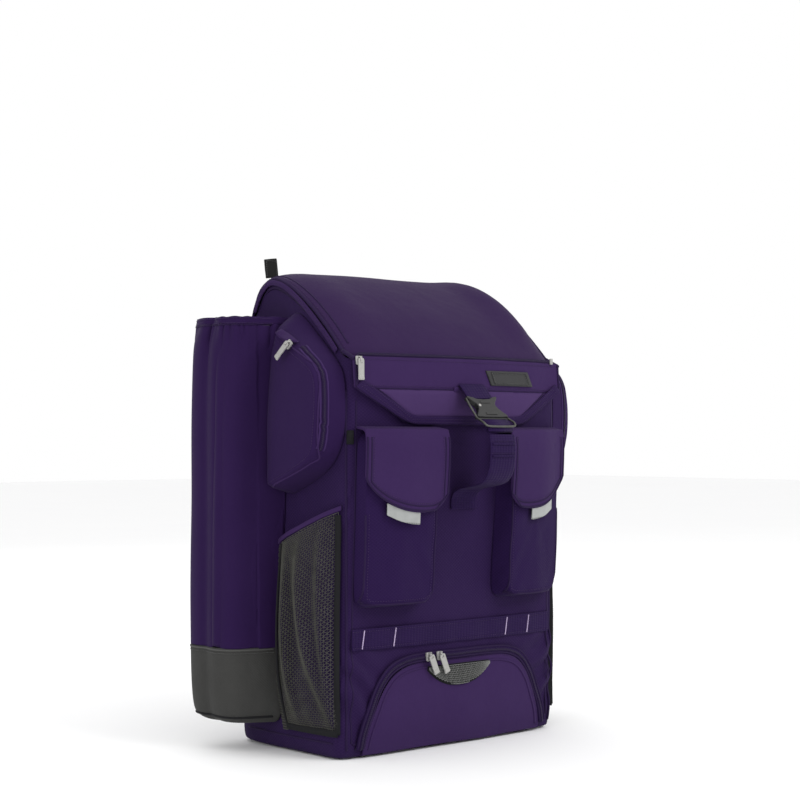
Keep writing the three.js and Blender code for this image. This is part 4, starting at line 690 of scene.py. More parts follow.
# The label patch: a thin plate of moulded black rubber with a raised rim and a bare face, sewn to
# the band at a slant.
rubber = plain_finish(
    "black_rubber", 0.006, (0.022, 0.022, 0.024), (0.036, 0.036, 0.036), 3,
    Roughness=0.62, Specular_IOR_Level=0.25,
)
rubber.give("Normal", rubber.raised(rubber.blotch(rubber.place, 0.0006), 0.00005))
patch = cloth_from("patch_plate", "label_patch", levels=3, sharp=30, crease=1.0)
patch.data.transform(Matrix.Translation((-0.004, 0, 0)))
patch_skin = skin_of(patch)
patch_rim = [(0.0365, 0.4785), (0.1045, 0.4785), (0.1125, 0.4635), (0.0425, 0.4635), (0.0365, 0.4785)]
dress(patch, rubber, "rubber", "label_patch")
rim_path = laid(patch_skin, paced(patch_rim, 0.003), "front")
dress(swept("patch_rim", rim_path, cord_section(0.0007, 0.0002)), rubber, "rubber")
patch_seam = [(0.0385, 0.4772), (0.1030, 0.4772), (0.1102, 0.4648), (0.0440, 0.4648), (0.0385, 0.4772)]
grey_thread = plain_finish("grey_thread", 0.004, (0.05, 0.05, 0.05), (0.10, 0.10, 0.10), Roughness=0.6)
patch_path = laid(patch_skin, paced(patch_seam, 0.003), "front")
stitch_row("patch_stitches", patch_path, grey_thread, "rubber")


# The strap in front: nylon webbing with a ribbed weave. It comes out under the flap's seam, is
# folded and stitched round the buckle, stands off the bag as a loop and is sewn in below.
def webbing_finish(name, dark, light):
    finish = Finish(name, Roughness=0.66, Specular_IOR_Level=0.08, Sheen_Weight=0.02, Sheen_Roughness=0.5)
    rib, cord = finish.on_cloth(1).wave(0.0011), finish.on_cloth(0).wave(0.0024)
    height = rib * 0.4 + cord * 0.35 + 0.5
    tone = finish.blotch(finish.place, 0.05, 3) * 0.6 + height * 0.4
    finish.give("Base Color", finish.between(tone, dark, light))
    finish.give("Roughness", finish.blotch(finish.place, 0.004) * 0.15 + 0.6)
    finish.give("Normal", finish.raised(height, 0.0003))
    return finish


web_cloth = webbing_finish("purple_webbing", (0.0100, 0.0030, 0.0310), (0.0215, 0.0082, 0.0530))
strap_skin_parts = []
for node in ("strap_upper", "strap_lower"):
    strap = cloth_from(node + "_web", node, sharp=50, crease=0.9)
    strap_skin_parts.append(strap)
    dress(flat_map(strap), web_cloth, "webbing", node)
strap_skin = skin_of(*strap_skin_parts)
for name, z in (("fold_a", 0.3865), ("fold_b", 0.3715)):
    path = laid(strap_skin, paced([(-0.0222, z), (0.0222, z)], 0.003), "front")
    sewn("strap_" + name, path, band_section(0.0026, 0.0016), web_cloth, "webbing")
    row = laid(strap_skin, paced([(-0.020, z + 0.0035), (0.020, z + 0.0035)], 0.0026), "front")
    stitch_row("strap_stitches_" + name, row, thread_dark, "webbing")
cover_line = [(-0.028, 0.4546), (0.028, 0.4546)]
cover_path = laid(flap_skin, paced(cover_line, 0.004), "front")
sewn("strap_cover", cover_path, band_section(0.009, 0.0022), panel_cloth, "panel")


# The buckle: a black moulded hook plate with hollowed sides and a small rivet, and below it a bent
# metal rod, dark and satin, that the lower webbing runs through.
black_plastic = plain_finish(
    "black_plastic", 0.01, (0.006, 0.006, 0.006), (0.012, 0.012, 0.012), Specular_IOR_Level=0.4
)
plastic_grain = black_plastic.blotch(black_plastic.place, 0.0012, 3)
black_plastic.give("Roughness", plastic_grain * 0.25 + 0.28)
black_plastic.give("Normal", black_plastic.raised(plastic_grain, 0.00006))
rod_metal = plain_finish(
    "dark_rod", 0.006, (0.05, 0.05, 0.046), (0.12, 0.12, 0.11), Roughness=0.35, Metallic=0.85
)

prongs = np.array([v.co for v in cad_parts["buckle_prongs"].data.vertices])
socket = np.array([v.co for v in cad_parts["buckle_socket"].data.vertices])
ahead = Vector(socket.mean(axis=0) - prongs.mean(axis=0))
ahead.x = 0
ahead.normalize()
off = ahead.cross(Vector((1, 0, 0))).normalized()
off = off if off.y < 0 else -off
top = Vector(prongs.mean(axis=0)) - ahead * 0.0085
top.x = 0
buckle_place = Matrix.Translation(top) @ Matrix((off.cross(ahead), ahead, off)).transposed().to_4x4()
if (buckle_place.to_3x3() @ Vector((1, 0, 0))).x < 0:
    buckle_place = buckle_place @ Matrix.Scale(-1, 4, (1, 0, 0))
hook_side = [
    (0.0255, -0.001), (0.0262, 0.0015), (0.0215, 0.0065), (0.0168, 0.0115), (0.0155, 0.0155),
    (0.0175, 0.0205), (0.0222, 0.0262), (0.0265, 0.0312), (0.0262, 0.0335),
]
hook_top = [(0.0165, 0.0012), (0.0118, 0.0036), (0.0, 0.0044), (-0.0118, 0.0036), (-0.0165, 0.0012)]
hook_foot = [(0.012, 0.0342), (-0.012, 0.0342)]
hook_outline = hook_side + hook_foot + [(-x, y) for x, y in hook_side[::-1]] + hook_top[::-1]
hook = cut("hook_plate", hook_outline, 0.0072, 0.0016, 3)
rib_outline = rounded_box(0.020, 0.0042, 0.0018, 3)
rib_a = cut("hook_rib", [(x, y + 0.0285) for x, y in rib_outline], 0.0088, 0.0008, 2)
rib_b = cut("hook_rib", [(x * 0.9, y + 0.0095) for x, y in rib_outline], 0.0086, 0.0008, 2)
rivet = bmesh.new()
bmesh.ops.create_uvsphere(rivet, u_segments=16, v_segments=8, radius=0.0021)
bmesh.ops.scale(rivet, vec=(1, 1, 0.5), verts=rivet.verts)
rivet = piece_of("buckle_rivet", rivet)
rivet.data.transform(Matrix.Translation((-0.0125, 0.0150, 0.0038)))
hook = joined("buckle_hook", hook, rib_a, rib_b)
hook.data.transform(buckle_place)
dress(hook, black_plastic, "plastic", "buckle_prongs")
rivet.data.transform(buckle_place)
dress(rivet, pull_metal, "plastic")
rod_bends = [
    (-0.0262, 0.001), (-0.0272, 0.012), (-0.0272, 0.030), (-0.0268, 0.046), (-0.0235, 0.0512),
    (-0.012, 0.0523), (0.012, 0.0523), (0.0235, 0.0512), (0.0268, 0.0465), (0.0262, 0.0335),
]
rod_line = curved(rod_bends, 80)
rod_rise = [0.0008 + 0.0052 * max(0.0, min(1.0, (y - 0.034) / 0.012)) for _, y in rod_line]
rod_path = [(buckle_place @ Vector((x, y, z)), off) for (x, y), z in zip(rod_line, rod_rise)]
dress(swept("buckle_rod", rod_path, cord_section(0.0014, 0, 10)), rod_metal, "metal", "buckle_socket")
bar_path = [(buckle_place @ Vector((x, 0.0352, 0.0006)), off) for x in np.linspace(-0.0262, 0.0262, 12)]
dress(swept("buckle_bar", bar_path, cord_section(0.0016, 0, 10)), black_plastic, "plastic")
turn_line = [
    (0.030, -0.0022), (0.038, 0.0012), (0.045, 0.0034), (0.0515, 0.0036), (0.0555, 0.0012), (0.0545, -0.0022),
    (0.0485, -0.0030),
]
turn_path = [(buckle_place @ Vector((0, y, z)), off) for y, z in curved(turn_line, 24)]
web_flat = [(-0.0215, -0.0007), (0.0215, -0.0007), (0.0215, 0.0007), (-0.0215, 0.0007)]
sewn("strap_turn", turn_path, web_flat, web_cloth, "webbing")


# The bat sleeves: tubes of smooth cloth sewn to the sides, gathered a little into a turned hem at
# the mouth, so that short dimples show just under it.
sleeve_cloth = cloth_finish("sleeve_cloth", (0.0155, 0.0050, 0.0400), (0.0250, 0.0100, 0.0555), crumple=0.2)
sleeve = cloth_from("bat_sleeve_cloth_left", "bat_sleeve_left", levels=3)
SLEEVE_MIDDLE = (-0.222, 0.062)


def sleeve_fold(place, normal):
    """Short dimples just under the hem, one soft valley down the tube and a little slack."""
    turn = math.atan2(place.x - SLEEVE_MIDDLE[0], place.y - SLEEVE_MIDDLE[1])
    below = max(0.0, 0.537 - place.z)
    spread = noise.noise(Vector((turn * 2.2, 0, 5)))
    dimple = 0.0034 * math.sin(turn * 12 + 4 * spread) * (0.6 + spread) * math.exp(-((below / 0.026) ** 2))
    lean = (place.z - 0.3) * 0.25
    valley = -0.0032 * math.exp(-(((turn + 1.95 + lean) / 0.17) ** 2)) * min(1, below / 0.08)
    slack = 0.0020 * noise.noise(Vector((turn * 1.1, place.z * 6, 9.0)))
    return dimple + valley + slack


both_sides(flat_map(moved(sleeve, sleeve_fold)), sleeve_cloth, "sleeve", "bat_sleeve_left")
hem = cloth_from("sleeve_hem_cloth_left", "sleeve_hem_left", crease=0.85)


def hem_ease(place, normal):
    turn = math.atan2(place.x - SLEEVE_MIDDLE[0], place.y - SLEEVE_MIDDLE[1])
    return 0.0005 * math.sin(turn * 12 + 4 * noise.noise(Vector((turn * 2.2, 0, 5))))


both_sides(flat_map(moved(hem, hem_ease)), sleeve_cloth, "sleeve", "sleeve_hem_left")


def round_sleeve(skin, z, count=150):
    """A level line round the outside of the left sleeve, off the body's wall."""
    path = []
    for t in np.linspace(0.02, math.pi - 0.02, count):
        run = Vector((-math.sin(t), -math.cos(t), 0))
        start = Vector((SLEEVE_MIDDLE[0] + 0.02, SLEEVE_MIDDLE[1], z)) + run * 0.2
        place, normal, _, _ = skin.ray_cast(start, -run)
        if place is not None and place.x < -0.192:
            path.append((place, normal if normal.dot(run) > 0 else -normal))
    return path


hem_skin = skin_of(hem, sleeve)
for z in (0.5445, 0.5385):
    stitch_row("hem_stitches_left", round_sleeve(hem_skin, z, 90), thread_dark, "sleeve")
# A thin dark band just under the hem: painted shade of its seam.
sewn("hem_seam_left", round_sleeve(hem_skin, 0.5366), band_section(0.0020, 0.0008), cord_and_seam_shade, "sleeve")


# The sleeve boots: stiff coarse black cloth over the sleeves' feet, sewn on with a flat seam and
# piped round the lower edge.
boot_cloth = cloth_finish(
    "boot_cloth", (0.029, 0.029, 0.028), (0.060, 0.060, 0.058), thread=0.0016, bump=0.0003
)
boot = cloth_from("sleeve_boot_cloth_left", "sleeve_boot_left")


def boot_dent(place, normal):
    return 0.0012 * noise.noise(Vector((place.x * 18, place.y * 18, place.z * 14)))


both_sides(flat_map(moved(boot, boot_dent)), boot_cloth, "boot", "sleeve_boot_left")
boot_skin = skin_of(boot)
pale_edge = cloth_finish("boot_edge", (0.060, 0.060, 0.058), (0.095, 0.095, 0.092), thread=0.0007)
sewn("boot_seam_left", round_sleeve(boot_skin, 0.1280), band_section(0.0022, 0.0008), pale_edge, "boot")
stitch_row("boot_stitches_left", round_sleeve(boot_skin, 0.1240, 90), grey_thread, "boot")
dark_cord = cloth_finish("black_cord", (0.008, 0.008, 0.009), (0.018, 0.018, 0.020), thread=0.0006)
sewn("boot_piping_left", round_sleeve(boot_skin, 0.0430), cord_section(0.0016, 0.0002), dark_cord, "boot")


# The zip pockets on the sides: a smooth cloth face piped along its edge, on a soft gusset with its
# zipper. A short flap of lighter cloth covers the zipper's upper end.
pocket = cloth_from("side_pocket_cloth_left", "side_pocket_left", levels=3, crease=0.5)


def side_pocket_ease(place, normal):
    away = max(0.0, min(1.0, (-0.196 - place.x) / 0.02))
    return away * 0.0020 * noise.noise(Vector((place.y * 16 + 3, place.z * 11, 6.0)))


gusset_cloth = cloth_finish("gusset_cloth", (0.0330, 0.0150, 0.0700), (0.0480, 0.0235, 0.0980))
moved(pocket, side_pocket_ease)
side_skin = skin_of(pocket)
both_sides(flat_map(pocket), sleeve_cloth, "sleeve", "side_pocket_left")
face_corners = [
    (-0.0045, 0.5268), (-0.027, 0.516), (-0.0504, 0.5052), (-0.0776, 0.492), (-0.0961, 0.4782),
    (-0.1042, 0.456), (-0.104, 0.408), (-0.0986, 0.375), (-0.0833, 0.3612), (-0.0524, 0.348),
    (-0.006, 0.3325),
]
face_edge = curved(face_corners, 90)
edge_path = laid(side_skin, face_edge, "left")
sewn("side_pocket_piping_left", edge_path, cord_section(0.0012, 0.0002), panel_cloth, "sleeve")
inner_edge = [(y + 0.0035, z - (0.0045 if z > 0.42 else -0.0045)) for y, z in face_edge]
inner_path = laid(side_skin, paced(inner_edge, 0.0034), "left")
stitch_row("side_pocket_stitches_left", inner_path, thread_dark, "sleeve")
side_tape = cloth_from("side_zip_ground", "side_zipper_left")
middle_rows = {}
for v in side_tape.data.vertices:
    middle_rows.setdefault(round(math.atan2(v.co.z - 0.43, -v.co.y - 0.05) * 14), []).append(v.co)
zip_points = [sum(rows, Vector()) / len(rows) for _, rows in sorted(middle_rows.items())]
zip_places = paced([tuple(p) for p in zip_points], 0.0013)
zip_path = []
for p in zip_places:
    place, normal, _, _ = side_skin.find_nearest(Vector(p))
    zip_path.append((place, normal if normal.x < 0 else -normal))
zipper("side_zip_left", zip_path, "side_zipper_left", width=0.0052)
for inset in (-0.0052, 0.0052):
    trim = [(place + across * inset, off) for place, _, across, off in directions(zip_path)[:: 3]]
    trim = [(side_skin.find_nearest(p)[0], off) for p, off in trim]
    sewn("gusset_trim_left", trim, band_section(0.0024, 0.0007), gusset_cloth, "sleeve")
bpy.data.objects.remove(side_tape)
garage = []
for y, z in (
    (-0.012, 0.5285), (-0.024, 0.5375), (-0.038, 0.5350), (-0.066, 0.5250), (-0.055, 0.5165),
    (-0.044, 0.5120), (-0.021, 0.5190),
):
    place = side_skin.find_nearest(Vector((-0.218, y, z)))[0]
    garage.append(place + Vector((-0.0022, 0, 0.0020)))
cover = bmesh.new()
cover.faces.new([cover.verts.new(p) for p in garage])
bmesh.ops.triangulate(cover, faces=cover.faces)
bmesh.ops.subdivide_edges(cover, edges=cover.edges, cuts=3, use_grid_fill=True)
cover = piece_of("side_zip_cover_left", cover)
cover.modifiers.new("cloth", "SOLIDIFY").thickness = 0.0012
both_sides(flat_map(settle(cover)), panel_cloth, "sleeve")
zip_end("side_zip_slider_left", "side_zip_pull_left", Vector((0, -0.6, 0.8)), Vector((-1, 0, 0)))


# The mesh pockets: knitted polyester net in hexagons, loose over the side cloth, with upright folds.
# Ribbed elastic binds the rear edge, black tape the front and the foot, and a purple fold the mouth.
net_cloth = plain_finish(
    "black_net", 0.01, (0.050, 0.050, 0.044), (0.105, 0.104, 0.092), Roughness=0.75, Specular_IOR_Level=0.2
)
POCKET_FRONT, POCKET_REAR = -0.1045, -0.0160


def mouth_at(y):
    share = (y - POCKET_FRONT) / (-0.004 - POCKET_FRONT)
    return 0.305 - 0.045 * share


pocket_mesh = cloth_from("mesh_pocket_ground", "mesh_pocket_left", levels=3)
# Each fold of the net: its place at the mouth and at the foot, its width and its depth.
NET_FOLDS = [
    (-0.051, -0.098, 0.0080, 0.0058),
    (-0.084, -0.102, 0.0055, 0.0030),
    (-0.027, -0.042, 0.0070, 0.0036),
]


def net_fold(y, z):
    """How far the net stands out more or less at a place: soft folds that lean towards the front."""
    out = 0.0
    for top_y, foot_y, wide, deep in NET_FOLDS:
        share = (0.28 - z) / 0.24
        middle = top_y + (foot_y - top_y) * max(0.0, share) ** 1.8
        off = y - middle
        trough = math.exp(-(((off - wide * 2.1) / (wide * 1.4)) ** 2))
        out += deep * math.exp(-((off / wide) ** 2)) - deep * 0.8 * trough
    return out * max(0.0, min(1.0, (z - 0.03) / 0.05)) * max(0.15, min(1.0, (mouth_at(y) - z) / 0.06))


def net_over(name, skin, side, low, high, foot, top, pitch, wire, fold=None):
    """A hexagon net laid on a skin between two places across it, from its foot to its top line."""
    columns = round((high - low) / pitch * 2)
    tall = max(top(a) - foot(a) for a in (low, (low + high) / 2, high))
    rows = round(tall / (pitch * 0.6))
    made = bmesh.new()
    bmesh.ops.create_grid(made, x_segments=columns, y_segments=rows, size=0.5)
    made.verts.ensure_lookup_table()
    upright = []
    for edge in made.edges:
        a, b = edge.verts
        if abs(a.co.x - b.co.x) < 1e-6 and 0.499 > abs(a.co.x):
            i = round((a.co.x + 0.5) * columns)
            j = round((min(a.co.y, b.co.y) + 0.5) * rows)
            if (i + j) % 2:
                upright.append(edge)
    bmesh.ops.dissolve_edges(made, edges=upright, use_verts=False)
    start, run = SIGHTS[side]
    lost = []
    for vert in made.verts:
        i = round((vert.co.x + 0.5) * columns)
        j = round((vert.co.y + 0.5) * rows)
        sway = (0.36 if (i + j) % 2 else -0.36) / rows if 0 < j < rows else 0
        a = low + (high - low) * (vert.co.x + 0.5)
        b = foot(a) + (top(a) - foot(a)) * (vert.co.y + 0.5 + sway)
        place, normal, _, _ = skin.ray_cast(Vector(start(a, b)), Vector(run))
        if place is None:
            lost.append(vert)
            continue
        vert.co = place - Vector(run) * (0.0006 + (fold(a, b) if fold else 0))
    bmesh.ops.delete(made, geom=lost, context="VERTS")
    net = piece_of(name, made)
    wires = net.modifiers.new("threads", "WIREFRAME")
    wires.thickness = wire
    wires.use_even_offset = False
    wires.use_boundary = True
    return settle(net)


mesh_skin = skin_of(pocket_mesh)
net = net_over(
    "mesh_net_left", mesh_skin, "left", POCKET_FRONT, POCKET_REAR,
    foot=lambda y: 0.036, top=lambda y: mouth_at(y) - 0.002, pitch=0.0050, wire=0.0011, fold=net_fold,
)
both_sides(net, net_cloth, "mesh", "mesh_pocket_left")
turned_in = [
    (-0.0035, 0.0006), (-0.0035, 0.002), (0.0035, 0.002), (0.0035, -0.014), (0.0023, -0.014),
    (0.0023, 0.0006),
]
for name, line, section in (
    ("mesh_foot_tape_left", [(-0.104, 0.0335), (-0.012, 0.0335)], band_section(0.0095, 0.0014, 0.0006)),
    ("mesh_front_tape_left", [(-0.1035, 0.032), (-0.1035, 0.3)], turned_in),
    ("mesh_rear_tape_left", [(-0.0165, 0.032), (-0.0165, 0.262)], band_section(0.0040, 0.0014, 0.0006)),
):
    path = laid(mesh_skin, paced(line, 0.004), "left")
    sewn(name, path, section, dark_cord, "mesh")
bpy.data.objects.remove(pocket_mesh)
elastic = Finish("ribbed_elastic", Roughness=0.8, Specular_IOR_Level=0.15)
elastic_up = elastic.node("SeparateXYZ", {"Vector": elastic.place}, out=2)
elastic_rib = elastic_up.wave(0.0017) * 0.5 + 0.5
elastic.give("Base Color", elastic.between(elastic_rib, (0.016, 0.016, 0.015), (0.058, 0.058, 0.052)))
elastic.give("Normal", elastic.raised(elastic_rib, 0.0006))
rear_elastic = cloth_from("mesh_elastic_left", "mesh_binding_left", levels=3)
moved(rear_elastic, lambda p, n: 0.0005 * math.sin(p.z * 2 * math.pi / 0.0068))
both_sides(rear_elastic, elastic, "mesh", "mesh_binding_left")
mouth = cloth_from("mesh_mouth_left", "mesh_top_binding_left")
both_sides(flat_map(mouth), panel_cloth, "cloth", "mesh_top_binding_left")


# The flap pockets in front: ripstop cloth boxed over a gusset, seamed and corded round the face.
rip_light = cloth_finish("ripstop_light", (0.0115, 0.0030, 0.0335), (0.0200, 0.0078, 0.0500), ripstop=0.0042)
front = cloth_from("front_pocket_cloth_left", "front_pocket_left", levels=3, crease=0.6)


def front_pocket_ease(place, normal):
    away = max(0.0, min(1.0, (-0.125 - place.y) / 0.012))
    sag = 0.0026 * noise.noise(Vector((place.x * 15, 1.0, place.z * 10)))
    line = 0.0011 * noise.noise(Vector((place.x * 50 + place.z * 22, 3.0, place.z * 14)))
    return away * (sag + line)


moved(front, front_pocket_ease)
pocket_skin = skin_of(front)
both_sides(flat_map(front), rip_light, "cloth", "front_pocket_left")
seam_corners = [
    (-0.1685, 0.30), (-0.1685, 0.205), (-0.1655, 0.1935), (-0.156, 0.1905), (-0.085, 0.1905),
    (-0.0715, 0.1935), (-0.0680, 0.205), (-0.0680, 0.32), (-0.0680, 0.385),
]
seam_ring = curved(seam_corners, 130)
ring_path = laid(pocket_skin, seam_ring, "front")
sewn("front_pocket_cord_left", ring_path, cord_section(0.0012, 0.0001), cord_and_seam_shade, "cloth")
inner_ring = [(x + (0.004 if x < -0.118 else -0.004), z + (0.004 if z < 0.21 else 0)) for x, z in seam_ring]
inner_path = laid(pocket_skin, paced(inner_ring, 0.0034), "front")
stitch_row("front_pocket_stitches_left", inner_path, thread_dark, "cloth")


# The pocket flaps: two layers of smooth cloth over foam, turned at the edge and topstitched, with a
# tab of grey tape under the lower edge to pull them open.
hood = cloth_from("pocket_flap_cloth_left", "pocket_flap_left", levels=3, sharp=50)


def hood_ease(place, normal):
    return 0.0018 * noise.noise(Vector((place.x * 13, 7.0, place.z * 13))) if normal.y < -0.2 else 0.0


moved(hood, hood_ease)
hood_skin = skin_of(hood)
for piece in both_sides(flat_map(hood), panel_cloth, "panel", "pocket_flap_left"):
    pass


def flap_foot(x):
    u = (x + 0.1745) / 0.119
    return 0.400 - 0.098 * (1 - 0.42 * (1 - u) ** 4 - 0.2 * u**12)


def inside_hood(inset):
    """A line round the flap's free edge, inset metres inside it."""
    xs = np.linspace(-0.1745 + inset, -0.0555 - inset, 50)
    line = [(-0.1745 + inset, 0.395)] + [(x, flap_foot(x) + inset) for x in xs] + [(-0.0555 - inset, 0.395)]
    return laid(hood_skin, paced(line, 0.0034), "front")


sewn("flap_edge_left", inside_hood(0.0016), cord_section(0.0013), cord_and_seam_shade, "panel")
# A thin dark band inside the edge: painted shade of a groove in the flap.
sewn("flap_groove_left", inside_hood(0.0075), band_section(0.0018, 0.0006), cord_and_seam_shade, "panel")
stitch_row("flap_stitches_left", inside_hood(0.0105), thread_dark, "panel")
grey_tape = Finish("grey_tape", Roughness=0.5, Specular_IOR_Level=0.35, Sheen_Weight=0.1)
tape_rib = grey_tape.node("SeparateXYZ", {"Vector": grey_tape.place}).wave(0.0008) * 0.5 + 0.5
tape_tone = grey_tape.blotch(grey_tape.place, 0.012, 3) * 0.7 + tape_rib * 0.3
grey_tape.give("Base Color", grey_tape.between(tape_tone, (0.235, 0.245, 0.240), (0.38, 0.39, 0.385)))
grey_tape.give("Normal", grey_tape.raised(tape_rib, 0.0001))
tab = cloth_from("flap_tab_tape_left", "flap_tab_left", levels=3, sharp=50, crease=0.85)
moved(tab, lambda p, n: 0.0007 * noise.noise(Vector((p.x * 40, 2.0, p.z * 40))))
tab_skin = skin_of(tab)
both_sides(flat_map(tab), grey_tape, "grey_tab", "flap_tab_left")
tab_path = laid(tab_skin, paced([(-0.1435, 0.2925), (-0.1000, 0.2885)], 0.0028), "front")
stitch_row("tab_stitches_left", tab_path, grey_thread, "grey_tab")


# The body: a tub of ripstop cloth over foam, with corded seams up its front corners and round its
# base. The cloth pulls into slanting creases beside the lower compartment.
body = cloth_from("body_cloth", "body_shell", sharp=50, crease=0.4)
refined(body, lambda face: face.normal.y < -0.6 and face.calc_center_median().z < 0.46, 2)


def body_crease(place, normal):
    x, y, z = place
    out = 0.0016 * noise.noise(Vector((x * 9, y * 9, z * 9)))
    if normal.y < -0.5 and z < 0.17:
        beside = math.exp(-(((abs(x) - 0.165) / 0.03) ** 2)) * math.exp(-(((z - 0.085) / 0.05) ** 2))
        run = z * 0.75 - abs(x) * 0.65
        shift = 2.5 * noise.noise(Vector((x * 20, 0, z * 20)))
        out += 0.0036 * beside * math.sin(run * 2 * math.pi / 0.034 + shift)
    if abs(normal.x) > 0.5 and 0.27 < z < 0.36:
        run = z + y * 0.45
        out += 0.0016 * math.sin(run * 2 * math.pi / 0.03) * math.exp(-(((z - 0.31) / 0.03) ** 2))
    return out


moved(body, body_crease)
body_skin = skin_of(body)
dress(flat_map(body), rip_cloth, "cloth", "body_shell")
corner = []
for z in np.linspace(0.012, 0.452, 90):
    start = Vector((-0.35, -0.28, z))
    place, normal, _, _ = body_skin.ray_cast(start, Vector((0.165, 0.165, 0)).normalized())
    if place is not None:
        corner.append((place, normal))
sewn("corner_cord_left", corner, cord_section(0.0014, 0.0002), cord_and_seam_shade, "cloth")
# A thin dark band up the front beside the corner: painted shade of its seam.
path = laid(body_skin, paced([(-0.1720, 0.02), (-0.1720, 0.44)], 0.004), "front")
sewn("corner_seam_left", path, band_section(0.0020, 0.0006), cord_and_seam_shade, "cloth")
base_line = paced([(-0.170, 0.0185), (0.170, 0.0185)], 0.004)
sewn("base_cord_front", laid(body_skin, base_line, "front"), cord_section(0.0012), cord_and_seam_shade, "cloth")
base_side = paced([(-0.095, 0.0200), (0.075, 0.0200)], 0.004)
sewn("base_cord_left", laid(body_skin, base_side, "left"), cord_section(0.0013), cord_and_seam_shade, "cloth")


# The side loops: a short length of dark webbing beside each flap pocket, folded double and sewn into
# the corner seam, so that it stands up a little in the middle.
loop_path = laid(body_skin, paced([(-0.1785, 0.3870), (-0.1785, 0.4025)], 0.0015), "front")
rises = [0.0030 * math.sin(math.pi * i / (len(loop_path) - 1)) for i in range(len(loop_path))]
loop_path = [(place + off * rise, off) for (place, off), rise in zip(loop_path, rises)]
sewn("side_loop_left", loop_path, band_section(0.009, 0.0013, 0.0003), dark_cord, "webbing")


# The daisy chain: flat nylon webbing across the front, with a row of stitches along each edge. Pale
# bar tacks hold it to the bag and divide it into loops.
chain = cloth_from("daisy_chain_web", "daisy_chain", sharp=50, crease=0.9)
chain_skin = skin_of(chain)
dress(flat_map(chain), web_cloth, "webbing", "daisy_chain")
for z in (0.1365, 0.1565):
    path = laid(chain_skin, paced([(-0.172, z), (0.172, z)], 0.0034), "front")
    stitch_row("chain_stitches", path, thread_dark, "webbing")
tack_thread = plain_finish("lilac_thread", 0.002, (0.36, 0.27, 0.45), (0.62, 0.50, 0.72), Roughness=0.6)
for i, x in ((0, -0.157), (1, -0.108), (5, 0.087), (6, 0.129)):
    line = paced([(x - 0.0016, 0.1355), (x + 0.0016, 0.1575)], 0.0009)
    tack = laid(chain_skin, line, "front")
    dress(stitched("bar_tack_%d" % i, tack, long=0.0012, thick=0.00095, lift=0.0004), tack_thread, "webbing")


# The lower compartment: a smooth swelling panel under an arched zipper, whose tape lies in a fold
# of cloth, and a half-moon vent of net at its top.
arch = cloth_from("arch_panel_cloth", "arch_panel", levels=3)
moved(arch, lambda p, n: 0.0016 * noise.noise(Vector((p.x * 12, 5.0, p.z * 14))))
arch_skin = skin_of(arch)
dress(flat_map(arch), panel_cloth, "panel", "arch_panel")
fold = cloth_from("arch_fold", "arch_zipper", levels=3, crease=0.3)
moved(fold, lambda p, n: 0.0012 if n.y < -0.3 else 0.0)
dress(flat_map(fold), rip_light, "cloth", "arch_zipper")
# Half the arch as shares of its half width and its height.
outline = [
    (1.0, 0.1), (0.97, 0.28), (0.905, 0.49), (0.83, 0.71), (0.72, 0.885),
    (0.57, 0.972), (0.36, 1.0), (0.0, 1.0),
]


def arch_line(inset):
    side = curved([(-(0.166 - inset) * out, (0.123 - inset) * up) for out, up in outline], 60)
    return [tuple(p) for p in side] + [(-x, z) for x, z in side[::-1][1:]]


ground = skin_of(arch, fold, body)
for name, inset, profile, finish in (
    ("arch_cord", 0.0008, cord_section(0.0012), cord_and_seam_shade),
    # Next, a thin dark band just inside the zipper: painted shade along the fold's lip.
    ("arch_edge_shade", 0.0092, band_section(0.0022, 0.0008), cord_and_seam_shade),
    ("arch_ridge", 0.0185, band_section(0.0026, 0.0010), panel_cloth),
):
    path = laid(ground, paced(arch_line(inset), 0.0035), "front")
    sewn(name, path, profile, finish, "cloth")
zipper("arch_zip", laid(ground, paced(arch_line(0.0055), 0.0013), "front"), "arch_zipper", width=0.0046)
stitch_row("arch_stitches", laid(ground, paced(arch_line(0.0125), 0.0034), "front"), thread_dark, "cloth")
for k in (1, 2):
    zip_end("arch_zip_slider_%d" % k, "arch_zip_pull_%d" % k, Vector((0, 0, 1)), Vector((0, -1, 0)))
vent = cloth_from("vent_ground", "mesh_vent")
vent_skin = skin_of(vent)


def vent_foot(x):
    drop = 0.003 + (0.025 - 0.003) * (1 - min(1.0, abs(x) / 0.054) ** 2.6)
    return 0.1040 - drop


vent_net = net_over(
    "vent_net", vent_skin, "front", -0.0535, 0.0535,
    foot=lambda x: vent_foot(x) + 0.0005, top=lambda x: 0.1035, pitch=0.0046, wire=0.0009,
)
vent_cloth = plain_finish(
    "grey_net", 0.008, (0.140, 0.143, 0.138), (0.24, 0.245, 0.235), Roughness=0.7, Specular_IOR_Level=0.25
)
dress(vent_net, vent_cloth, "mesh", "mesh_vent")
xs = np.linspace(-0.054, 0.054, 40)
for name, line in (("vent_edge", [(x, vent_foot(x)) for x in xs]), ("vent_top", [(x, 0.1042) for x in xs])):
    sewn(name, laid(arch_skin, line, "front"), cord_section(0.0011, 0.0004), dark_cord, "mesh")
dress(flat_map(vent), dark_cord, "mesh")


# The back pad and the shoulder straps: foam under knitted air mesh, bound round the edge. Their
# cloth is puffed by a short simulation, then the quilting and the binding are laid on it.
air_mesh = Finish("air_mesh", Roughness=0.85, Specular_IOR_Level=0.15)
air_cells = air_mesh.node("TexVoronoi", {"Vector": air_mesh.place, "Scale": 420.0})
air_tone = air_cells * 0.8 + air_mesh.blotch(air_mesh.place, 0.05) * 0.2
air_mesh.give("Base Color", air_mesh.between(air_tone, (0.010, 0.010, 0.011), (0.036, 0.036, 0.038)))
air_mesh.give("Normal", air_mesh.raised(air_cells, 0.0012))


